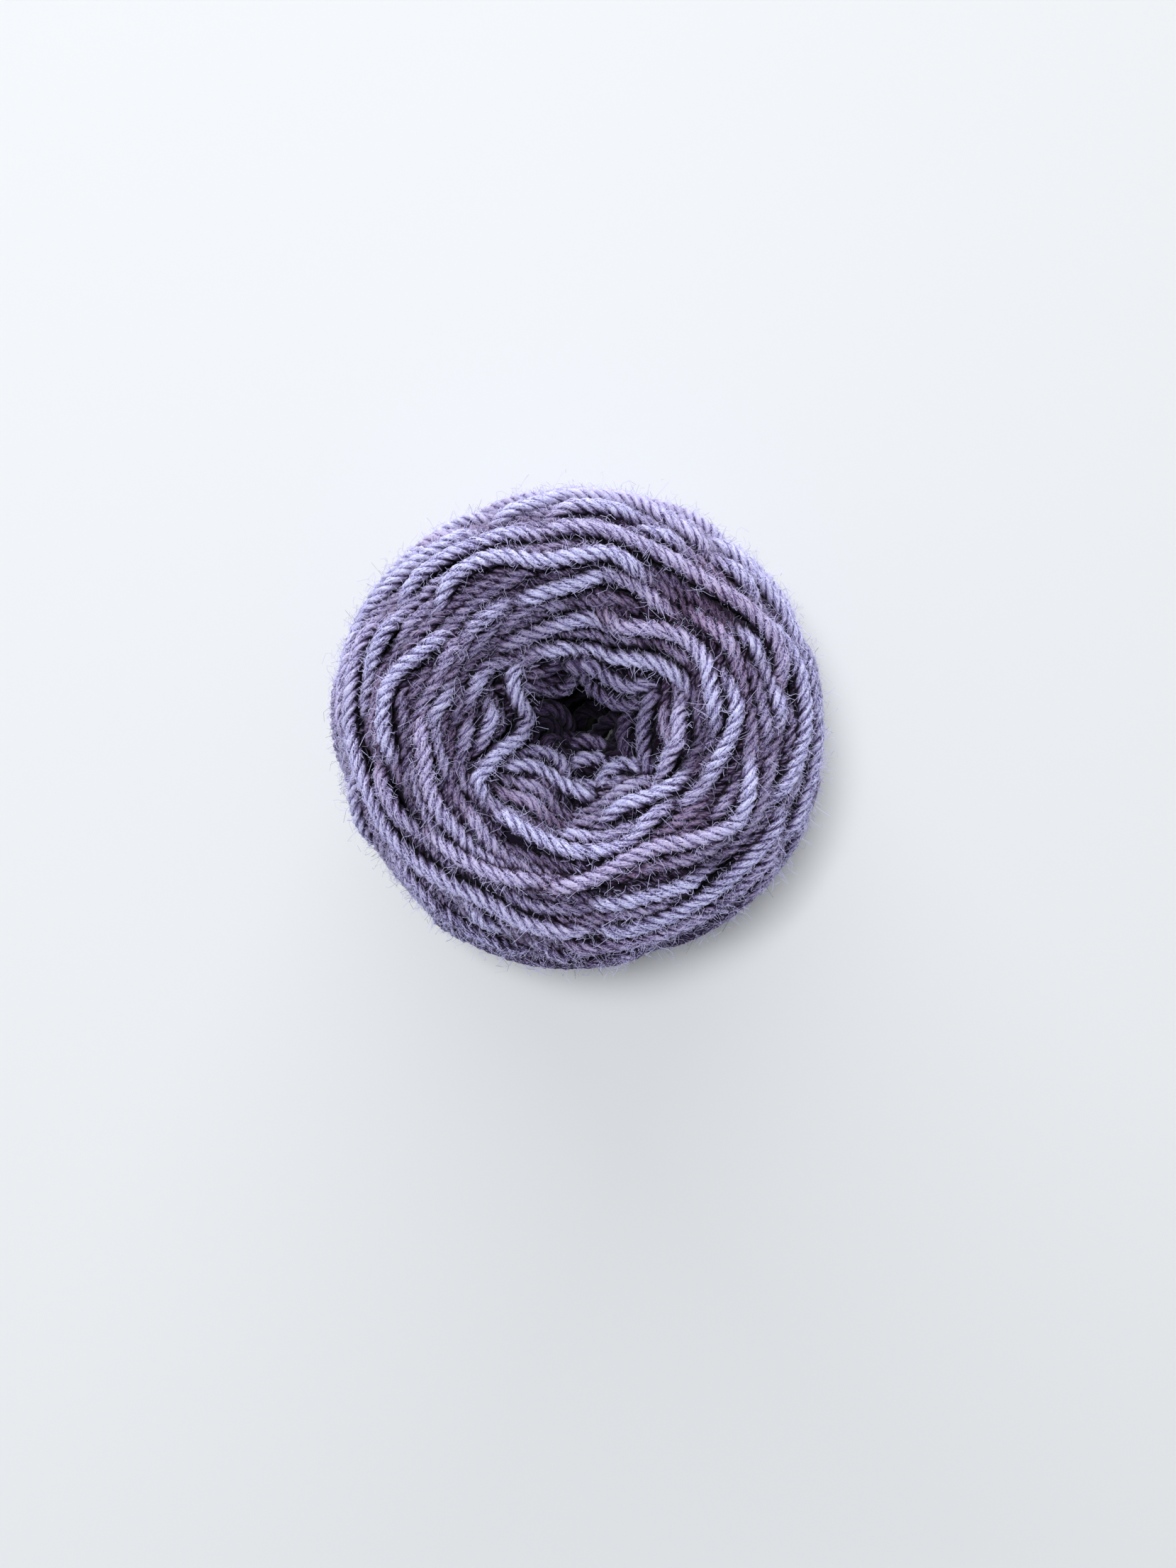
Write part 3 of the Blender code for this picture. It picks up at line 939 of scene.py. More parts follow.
class TreeSketch:
    """Adds nodes and links to one node tree, so that the tree reads from top to bottom."""

    def __init__(self, tree: bpy.types.NodeTree) -> None:
        """Keeps the tree that the nodes go to."""
        self.tree = tree

    def add(self, kind: str, sockets: dict | None = None, **settings: object) -> bpy.types.Node:
        """Adds a node.

        Args:
            kind: Blender's name of the node's type.
            sockets: What goes to its inputs: a value, or the output that feeds it.
            settings: The node's own settings.

        Returns:
            The node.
        """
        node = self.tree.nodes.new(kind)
        for name, value in settings.items():
            setattr(node, name, value)
        for name, value in (sockets or {}).items():
            if isinstance(value, Socket):
                self.tree.links.new(value, node.inputs[name])
            else:
                node.inputs[name].default_value = value
        return node

    def sum(self, operation: str, *terms: object) -> Socket:
        """The result of one step of arithmetic on numbers or outputs."""
        return self.add("ShaderNodeMath", dict(enumerate(terms)), operation=operation).outputs[0]

    def vector_sum(self, operation: str, *terms: object) -> Socket:
        """The result of one step of arithmetic on vectors, or the number that it gives."""
        node = self.add("ShaderNodeVectorMath", dict(enumerate(terms)), operation=operation)
        return node.outputs["Value" if operation == "DOT_PRODUCT" else "Vector"]

    def scaled(self, vector: object, factor: object) -> Socket:
        """A vector times a number."""
        sockets = {"Vector": vector, "Scale": factor}
        return self.add("ShaderNodeVectorMath", sockets, operation="SCALE").outputs[0]

    def combined(self, **parts: object) -> Socket:
        """A vector of the parts X, Y and Z, where one that is left out is zero."""
        return self.add("ShaderNodeCombineXYZ", parts).outputs[0]

    def mapped(
        self,
        value: object,
        start: float,
        full: float,
        low: object = 0.0,
        high: object = 1.0,
        smooth: bool = False,
    ) -> Socket:
        """A value led from one range to another, and held beyond it.

        Args:
            value: The output to lead.
            start: The value that gives low.
            full: The value that gives high.
            low: The result at start.
            high: The result at full.
            smooth: Whether the change starts and ends gently.

        Returns:
            The output that carries the result.
        """
        sockets = {"Value": value, "From Min": start, "From Max": full, "To Min": low, "To Max": high}
        style = "SMOOTHSTEP" if smooth else "LINEAR"
        return self.add("ShaderNodeMapRange", sockets, interpolation_type=style).outputs["Result"]

    def noise(self, place: object, scale: float, detail: float, roughness: float = 0.5) -> Socket:
        """Smooth noise over a vector."""
        sockets = {"Vector": place, "Scale": scale, "Detail": detail, "Roughness": roughness}
        return self.add("ShaderNodeTexNoise", sockets).outputs["Fac"]


class MaterialSketch(TreeSketch):
    """Sketches the nodes of one new material."""

    def __init__(self, name: str, roughness: float, gloss: float) -> None:
        """Makes the material with its shader.

        Args:
            name: The material's name.
            roughness: The shader's roughness.
            gloss: The shader's specular level.
        """
        self.material = bpy.data.materials.new(name)
        self.material.use_nodes = True
        super().__init__(self.material.node_tree)
        self.shader = self.tree.nodes["Principled BSDF"]
        self.set("Roughness", roughness)
        self.set("Specular IOR Level", gloss)

    def set(self, name: str, value: object) -> None:
        """Sets one of the shader's own sockets."""
        self.shader.inputs[name].default_value = value

    def feed(self, name: str, value: Socket) -> None:
        """Links an output to one of the shader's sockets."""
        self.tree.links.new(value, self.shader.inputs[name])

    def attribute(self, name: str, output: str = "Fac") -> Socket:
        """What the mesh holds under a name."""
        return self.add("ShaderNodeAttribute", attribute_name=name).outputs[output]

    def place(self) -> Socket:
        """The place on the object."""
        return self.add("ShaderNodeTexCoord").outputs["Object"]

    def ramp(self, factor: Socket, *stops: tuple[float, tuple]) -> Socket:
        """A colour that changes with a factor.

        Args:
            factor: What it follows.
            stops: Each stop's position and colour, from the lowest to the highest.

        Returns:
            The output that carries the colour.
        """
        node = self.add("ShaderNodeValToRGB", {"Fac": factor})
        elements = node.color_ramp.elements
        elements[0].position, elements[0].color = stops[0][0], (*stops[0][1], 1.0)
        elements[1].position, elements[1].color = stops[-1][0], (*stops[-1][1], 1.0)
        for position, colour in stops[1:-1]:
            elements.new(position).color = (*colour, 1.0)
        return node.outputs["Color"]


class GeometryTree(TreeSketch):
    """A Geometry Nodes tree with named inputs, run once on a piece."""

    def __init__(self, name: str) -> None:
        """Makes the tree with its geometry input and output."""
        super().__init__(bpy.data.node_groups.new(name, "GeometryNodeTree"))
        self.tree.is_modifier = True
        self.tree.interface.new_socket("Geometry", in_out="INPUT", socket_type="NodeSocketGeometry")
        self.tree.interface.new_socket("Geometry", in_out="OUTPUT", socket_type="NodeSocketGeometry")
        self.entry = self.tree.nodes.new("NodeGroupInput")
        self.values: dict[str, object] = {}

    def size(self, name: str, value: float, kind: str = "NodeSocketFloat") -> Socket:
        """Adds a named input.

        Args:
            name: Its name on the modifier.
            value: What this piece sets it to.
            kind: Its socket type.

        Returns:
            The output of the group input that carries it.
        """
        item = self.tree.interface.new_socket(name, in_out="INPUT", socket_type=kind)
        self.values[item.identifier] = value
        return self.entry.outputs[name]

    def store(self, geometry: Socket, name: str, value: object, kind: str = "FLOAT") -> Socket:
        """The geometry with a value stored on its points under a name."""
        sockets = {"Geometry": geometry, "Name": name, "Value": value}
        node = self.add("GeometryNodeStoreNamedAttribute", sockets, data_type=kind, domain="POINT")
        return node.outputs["Geometry"]

    def stored(self, name: str, kind: str = "FLOAT") -> Socket:
        """A value that the points hold under a name."""
        node = self.add("GeometryNodeInputNamedAttribute", {"Name": name}, data_type=kind)
        return node.outputs["Attribute"]

    def position(self) -> Socket:
        """Where each point lies."""
        return self.add("GeometryNodeInputPosition").outputs[0]

    def normal(self) -> Socket:
        """Which way the surface faces."""
        return self.add("GeometryNodeInputNormal").outputs[0]

    def moved(self, geometry: Socket, **sockets: object) -> Socket:
        """The geometry with its points at a Position, or moved by an Offset."""
        return self.add("GeometryNodeSetPosition", {"Geometry": geometry, **sockets}).outputs[0]

    def swept(self, **sockets: object) -> Socket:
        """Curves swept with a profile curve, as a mesh."""
        named = {name.replace("_", " "): value for name, value in sockets.items()}
        return self.add("GeometryNodeCurveToMesh", named).outputs["Mesh"]

    def close(self, geometry: Socket, material: bpy.types.Material) -> None:
        """Ends the tree with its faces smooth, its instances realized and its material set.

        Args:
            geometry: The tree's result.
            material: What it is made of.
        """
        smooth = self.add("GeometryNodeSetShadeSmooth", {"Geometry": geometry}).outputs[0]
        real = self.add("GeometryNodeRealizeInstances", {"Geometry": smooth}).outputs[0]
        clad = self.add("GeometryNodeSetMaterial", {"Geometry": real, "Material": material}).outputs[0]
        leave = self.tree.nodes.new("NodeGroupOutput")
        self.tree.links.new(clad, leave.inputs["Geometry"])

    def run_on(self, piece: bpy.types.Object) -> None:
        """Runs the tree on a piece and leaves it a plain mesh.

        Args:
            piece: The object whose mesh the tree reads, and which gets the result as its mesh.
        """
        modifier = piece.modifiers.new(self.tree.name, "NODES")
        modifier.node_group = self.tree
        for identifier, value in self.values.items():
            modifier[identifier] = value
        graph = bpy.context.evaluated_depsgraph_get()
        graph.update()
        result = bpy.data.meshes.new_from_object(
            piece.evaluated_get(graph), preserve_all_data_layers=True, depsgraph=graph
        )
        piece.modifiers.clear()
        old = piece.data
        piece.data = result
        result.name = piece.name
        bpy.data.meshes.remove(old)


@dataclass(frozen=True)
class WoolFinish:
    """Dyed wool: fine fibres along the plies, soft sheen, and painted shade between the plies.

    The tone adds up from weighted noise and the strand's shade, and picks a colour between deep and light.
    """

    name: str = "dyed_wool"
    deep: Triple = (0.026, 0.016, 0.036)
    body: Triple = (0.360, 0.335, 0.640)
    light: Triple = (0.720, 0.725, 1.000)
    rose: Triple = (0.72, 0.55, 0.58)
    body_tone: float = 0.48
    light_tone: float = 0.95
    fibre_grain: Triple = (420.0, 7.0, 7.0)
    hair_grain: Triple = (750.0, 11.0, 11.0)
    patch_scale: float = 140.0
    speck_scale: float = 3000.0
    fibre_weight: float = 2.4
    speck_weight: float = 1.8
    shade_weight: float = 0.17
    patch_weight: float = 0.7
    hair_weight: float = 3.4
    lump_weight: float = 1.2
    tone_start: float = -3.99
    groove_tone: float = 0.15
    least_lit: float = 0.05
    gloom_depth: float = 0.985
    shadow_green_loss: float = 1.14
    hair_relief: float = 0.5
    bump: float = 0.00016
    bump_strength: float = 0.9
    sheen: float = 0.07
    sheen_roughness: float = 0.45
    sheen_tint: tuple[float, ...] = (0.80, 0.78, 1.0, 1.0)

    def build(self) -> bpy.types.Material:
        """Makes the material.

        Returns:
            The material, which reads the attributes that the yarn's tree stores.
        """
        sketch = MaterialSketch(self.name, 0.86, 0.08)
        around = sketch.attribute("fibre", "Vector")
        fibres = sketch.noise(sketch.vector_sum("MULTIPLY", around, self.fibre_grain), 1.0, 4.0, 0.6)
        hairs = sketch.noise(sketch.vector_sum("MULTIPLY", around, self.hair_grain), 1.0, 2.0)
        ply = sketch.attribute("ply_place", "Vector")
        lumps = sketch.noise(sketch.vector_sum("MULTIPLY", ply, LUMP_GRAIN), 1.0, 1.0)
        place = sketch.place()
        patches = sketch.noise(place, self.patch_scale, 3.0)
        specks = sketch.noise(place, self.speck_scale, 2.0)
        tone = self.tone_start
        for part, weight in (
            (fibres, self.fibre_weight),
            (specks, self.speck_weight),
            (sketch.attribute("shade"), self.shade_weight),
            (patches, self.patch_weight),
            (hairs, self.hair_weight),
            (lumps, self.lump_weight),
        ):
            tone = sketch.sum("MULTIPLY_ADD", part, weight, tone)
        # Painted shade: the tone darkens in the grooves between the plies.
        cavity = sketch.attribute("cavity")
        open_tone = sketch.sum("MULTIPLY_ADD", cavity, 1.0 - self.groove_tone, self.groove_tone)
        tone = sketch.sum("MULTIPLY", tone, open_tone)
        stops = ((0.0, self.deep), (self.body_tone, self.body), (self.light_tone, self.light))
        # Rose carries rosier dye and a painted shade tint.
        dyed = sketch.add(
            "ShaderNodeMix",
            {"Factor": sketch.attribute("rose"), "A": sketch.ramp(tone, *stops), "B": (*self.rose, 1.0)},
            data_type="RGBA",
            blend_type="MULTIPLY",
        ).outputs["Result"]
        # Painted shade and light in the base colour: facing darkens the flanks and lightens the upper side,
        # and gloom darkens deep, crowded and mouth places.
        lit = sketch.sum("MULTIPLY_ADD", sketch.attribute("facing"), 1.0 - self.least_lit, self.least_lit)
        open_share = sketch.sum("MULTIPLY_ADD", sketch.attribute("gloom"), -self.gloom_depth, 1.0)
        lit = sketch.sum("MULTIPLY", lit, open_share)
        # Painted shadow hue: dim places lose more green than red and blue, so they turn purpler.
        dimmed = sketch.combined(X=lit, Y=sketch.sum("POWER", lit, self.shadow_green_loss), Z=lit)
        sketch.feed("Base Color", sketch.vector_sum("MULTIPLY", dyed, dimmed))
        relief = {
            "Height": sketch.sum("MULTIPLY_ADD", hairs, self.hair_relief, fibres),
            "Distance": self.bump,
            "Strength": self.bump_strength,
        }
        sketch.feed("Normal", sketch.add("ShaderNodeBump", relief).outputs["Normal"])
        sketch.set("Sheen Weight", self.sheen)
        sketch.set("Sheen Roughness", self.sheen_roughness)
        sketch.set("Sheen Tint", self.sheen_tint)
        return sketch.material


@dataclass(frozen=True)
class FibreFinish:
    """Single loose fibres, lighter than the yarn, with painted shade where the yarn is in gloom."""

    name: str = "loose_fibres"
    colour: Triple = (0.66, 0.64, 0.96)
    dimming: float = 0.97

    def build(self) -> bpy.types.Material:
        """Makes the material.

        Returns:
            The material, which reads the gloom that the fibres take from their yarn.
        """
        sketch = MaterialSketch(self.name, 0.85, 0.06)
        # Painted shade where the yarn's gloom is deep.
        open_share = sketch.sum("MULTIPLY_ADD", sketch.attribute("gloom"), -self.dimming, 1.0)
        sketch.feed("Base Color", sketch.scaled(self.colour, open_share))
        return sketch.material


@dataclass(frozen=True)
class PlainFinish:
    """A finish of one colour with a faint mottle, for what shows little."""

    name: str
    colour: Triple
    second: Triple
    scale: float
    roughness: float

    def build(self) -> bpy.types.Material:
        """Makes the material.

        Returns:
            The material, with its mottle on the object's own place.
        """
        sketch = MaterialSketch(self.name, self.roughness, 0.06)
        mottle = sketch.noise(sketch.place(), self.scale, 3.0)
        sketch.feed("Base Color", sketch.ramp(mottle, (0.35, self.colour), (0.65, self.second)))
        return sketch.material


@dataclass
class PliedYarn:
    """Yarn of four plies that twist round one another to the right, swept along strands.

    Ply sizes are shares of the yarn's radius, and so are the ranges over which painted shade darkens the
    grooves and the sides.
    """

    radius: float = 1.58
    plies: int = 4
    pitch: float = 8.6
    ply_offset: float = 0.48
    ply_radius: float = 0.52
    flatten: float = 0.10
    fibre_turn: float = 0.62
    unevenness: float = 0.70
    groove: Span = (0.75, 0.90)
    skyward: float = 0.68
    lit_range: Span = (0.20, 0.66)

    def _rails(self, tree: GeometryTree) -> Socket:
        """Makes the centre lines curves that turn with the twist.

        Args:
            tree: The tree, whose geometry input holds the centre lines.

        Returns:
            The curves, with their length, turn and centre stored.
        """
        pitch = tree.size("Twist Pitch", self.pitch * MM)
        lines = {"Mesh": tree.entry.outputs["Geometry"]}
        rails = tree.add("GeometryNodeMeshToCurve", lines).outputs["Curve"]
        along = tree.add("GeometryNodeSplineParameter").outputs["Length"]
        turn = tree.sum("MULTIPLY", tree.sum("DIVIDE", along, pitch), FULL_TURN)
        turn = tree.sum("MULTIPLY_ADD", turn, tree.stored("twist"), tree.stored("start_turn"))
        rails = tree.store(rails, "along", along)
        rails = tree.store(rails, "turn", turn)
        rails = tree.store(rails, "centre", tree.position(), VECTOR)
        rails = tree.add("GeometryNodeSetCurveTilt", {"Curve": rails, "Tilt": turn}).outputs[0]
        swell = {"Curve": rails, "Radius": tree.stored("swell")}
        return tree.add("GeometryNodeSetCurveRadius", swell).outputs[0]

    def _section(self, tree: GeometryTree, points_round: int, radius: Socket) -> Socket:
        """Makes the yarn's section, a ring of round plies.

        Args:
            tree: The tree.
            points_round: Points in the section.
            radius: The yarn's radius.

        Returns:
            The section's curve, with each point's angle and its place between two plies stored.
        """
        offset = tree.size("Ply Offset", self.ply_offset)
        ply = tree.size("Ply Radius", self.ply_radius)
        circle = tree.add("GeometryNodeCurvePrimitiveCircle", {"Resolution": points_round, "Radius": 1.0})
        index = tree.add("GeometryNodeInputIndex").outputs[0]
        angle = tree.sum("MULTIPLY", index, FULL_TURN / points_round)
        share = tree.sum("FRACT", tree.sum("MULTIPLY", index, self.plies / points_round))
        within = tree.sum("MULTIPLY", tree.sum("SUBTRACT", share, 0.5), FULL_TURN / self.plies)
        across = tree.sum("MULTIPLY", tree.sum("SINE", within), offset)
        inner = tree.sum("SUBTRACT", tree.sum("MULTIPLY", ply, ply), tree.sum("MULTIPLY", across, across))
        lobe = tree.sum("MULTIPLY", tree.sum("COSINE", within), offset)
        lobe = tree.sum("ADD", lobe, tree.sum("SQRT", inner))
        reach = tree.sum("MULTIPLY", lobe, radius)
        x, y = (tree.sum("MULTIPLY", tree.sum(wave, angle), reach) for wave in ("COSINE", "SINE"))
        section = tree.store(circle.outputs["Curve"], "around", angle)
        # Painted shade in the grooves between the plies, stored as cavity.
        section = tree.store(section, "cavity", tree.mapped(lobe, *self.groove))
        return tree.moved(section, Position=tree.combined(X=x, Y=y))

    def _grain(self, tree: GeometryTree, angle: Socket) -> Socket:
        """A place in the wool's grain: how far along the yarn, and where on a circle round it."""
        return tree.combined(X=tree.stored("along"), Y=tree.sum("COSINE", angle), Z=tree.sum("SINE", angle))

    def tree(self, name: str, points_round: int, material: bpy.types.Material) -> GeometryTree:
        """Builds the tree that turns centre lines into plied yarn.

        Args:
            name: The tree's name.
            points_round: Points in a section, a multiple of the plies.
            material: The wool.

        Returns:
            The tree, ready to run on a mesh of centre lines.
        """
        tree = GeometryTree(name)
        radius = tree.size("Yarn Radius", self.radius * MM)
        flatten = tree.size("Flatten", self.flatten)
        follow = tree.size("Fibre Turn", self.fibre_turn)
        unevenness = tree.size("Unevenness", self.unevenness * MM)
        section = self._section(tree, points_round, radius)
        yarn = tree.swept(Curve=self._rails(tree), Profile_Curve=section, Fill_Caps=True)
        from_centre = tree.vector_sum("SUBTRACT", tree.position(), tree.stored("centre", VECTOR))
        up = tree.stored("up", VECTOR)
        rise = tree.vector_sum("DOT_PRODUCT", from_centre, up)
        pressed = tree.sum("MULTIPLY", tree.sum("MULTIPLY", rise, flatten), -1.0)
        yarn = tree.moved(yarn, Offset=tree.scaled(up, pressed))
        around = tree.stored("around")
        fibre_angle = tree.sum("ADD", around, tree.sum("MULTIPLY", tree.stored("turn"), follow))
        ply_place = self._grain(tree, around)
        yarn = tree.store(yarn, "fibre", self._grain(tree, fibre_angle), VECTOR)
        yarn = tree.store(yarn, "ply_place", ply_place, VECTOR)
        lumps = tree.noise(tree.vector_sum("MULTIPLY", ply_place, LUMP_GRAIN), 1.0, 1.0)
        lift = tree.sum("MULTIPLY", tree.sum("SUBTRACT", lumps, 0.5), unevenness)
        yarn = tree.moved(yarn, Offset=tree.scaled(tree.normal(), lift))
        # Painted shade on each strand's flanks and painted light on its upper side, stored as facing.
        skyward = tree.vector_sum("DOT_PRODUCT", from_centre, (0.0, 0.0, self.skyward))
        facing = tree.sum("DIVIDE", tree.sum("MAXIMUM", rise, skyward), radius)
        yarn = tree.store(yarn, "facing", tree.mapped(facing, *self.lit_range, smooth=True))
        tree.close(yarn, material)
        return tree


@dataclass(frozen=True)
class Crowding:
    """Painted shade where other turns crowd round each point of the yarn, found on a grid of small cells.

    Each point stands for some wool just under it. Lengths are in millimetres, and ranges give where the
    painted shade starts and where it is full. The rim's far side, which the window lights, gets less of it.
    """

    cell: float = 0.4
    spare_cells: float = 8.0
    skin: tuple[Span, ...] = ((0.5, 0.60), (1.0, 0.19))
    reaches: tuple[float, ...] = (0.5, 1.0, 1.6)
    crowded: Span = (0.04, 0.24)
    strength: float = 0.98
    pit_reach: float = 3.0
    pit: Span = (0.08, 0.60)
    pit_strength: float = 0.72
    rim_radii: Span = (34.0, 38.0)
    far_side: Span = (0.2, 0.9)
    far_relief: float = 0.8

    def _blurred(self, grid: Array, step: int) -> Array:
        """Blurs a grid along its three axes.

        Args:
            grid: The grid.
            step: How many cells apart the neighbours lie that are mixed.

        Returns:
            The blurred grid.
        """
        for axis in range(3):
            near = np.roll(grid, step, axis) + np.roll(grid, -step, axis)
            far = np.roll(grid, 2 * step, axis) + np.roll(grid, -2 * step, axis)
            grid = 0.375 * grid + 0.25 * near + 0.0625 * far
        return grid

    def _filled(self, places: Array, sizes: Array, low: Array, counts: Array) -> Array:
        """How full of wool each cell is, blurred over its neighbours.

        Args:
            places: Points inside the yarn, in millimetres.
            sizes: The volume that each point stands for, in cubic millimetres.
            low: The grid's lowest corner.
            counts: The grid's cells along each axis.

        Returns:
            The share of each cell that is full.
        """
        cells = np.floor((places - low) / self.cell).astype(int)
        flat = np.ravel_multi_index(tuple(cells.T), tuple(counts))
        grid = np.bincount(flat, sizes, minlength=int(np.prod(counts))).reshape(counts)
        return self._blurred(grid / self.cell**3, 1)

    def _read(self, grid: Array, places: Array, low: Array) -> Array:
        """Reads a grid evenly between the middles of its cells.

        Args:
            grid: The grid.
            places: Where it is read, in millimetres.
            low: The grid's lowest corner.

        Returns:
            The value at each place.
        """
        spots = (places - low) / self.cell - 0.5
        base = np.floor(spots).astype(int)
        part = spots - base
        value = np.zeros(len(places))
        for step in np.ndindex(2, 2, 2):
            weight = np.prod(np.where(np.array(step) == 1, part, 1.0 - part), axis=1)
            value += weight * grid[tuple((base + step).T)]
        return value

    def _surface(self, mesh: bpy.types.Mesh) -> tuple[Array, Array, Array]:
        """What a mesh's surface is like at its points.

        Args:
            mesh: The mesh.

        Returns:
            The places in millimetres, the outward directions, and the area that each point stands for.
        """
        count = len(mesh.vertices)
        spots, outward = np.empty((2, 3 * count), dtype=np.float32)
        faces = np.empty(len(mesh.polygons), dtype=np.float32)
        mesh.vertices.foreach_get("co", spots)
        mesh.vertex_normals.foreach_get("vector", outward)
        mesh.polygons.foreach_get("area", faces)
        area = np.full(count, faces.sum() / count / MM**2)
        return spots.reshape(-1, 3) / MM, outward.reshape(-1, 3), area

    def shade(self, pieces: list[bpy.types.Object]) -> None:
        """Adds painted shade to the gloom of every point that other turns crowd.

        Args:
            pieces: The pieces of yarn, plain meshes with a gloom of their own.
        """
        places, normals, areas = zip(*(self._surface(piece.data) for piece in pieces))
        every, out, size = np.vstack(places), np.vstack(normals), np.concatenate(areas)
        margin = self.pit_reach + self.spare_cells * self.cell
        low = every.min(axis=0) - margin
        counts = np.ceil((every.max(axis=0) + margin - low) / self.cell).astype(int)
        inside = np.vstack([every - depth * out for depth, _ in self.skin])
        volume = np.concatenate([share * size for _, share in self.skin])
        grid = self._filled(inside, volume, low, counts)
        crowd = sum(self._read(grid, every + reach * out, low) for reach in self.reaches)
        crowd_shade = self.strength * smooth_step(crowd / len(self.reaches), *self.crowded)
        wide = self._blurred(self._blurred(grid, 2), 3)
        pit = smooth_step(self._read(wide, every + self.pit_reach * out, low), *self.pit)
        crowd_shade = 1.0 - (1.0 - crowd_shade) * (1.0 - self.pit_strength * pit)
        radius = np.maximum(np.hypot(every[:, 0], every[:, 1]), 1.0)
        far_rim = smooth_step(radius, *self.rim_radii) * smooth_step(every[:, 1] / radius, *self.far_side)
        crowd_shade *= 1.0 - self.far_relief * far_rim
        start = 0
        for piece, spots in zip(pieces, places):
            end = start + len(spots)
            layer = piece.data.attributes["gloom"].data
            gloom = np.empty(len(spots), dtype=np.float32)
            layer.foreach_get("value", gloom)
            gloom = 1.0 - (1.0 - gloom) * (1.0 - crowd_shade[start:end]).astype(np.float32)
            layer.foreach_set("value", gloom)
            start = end


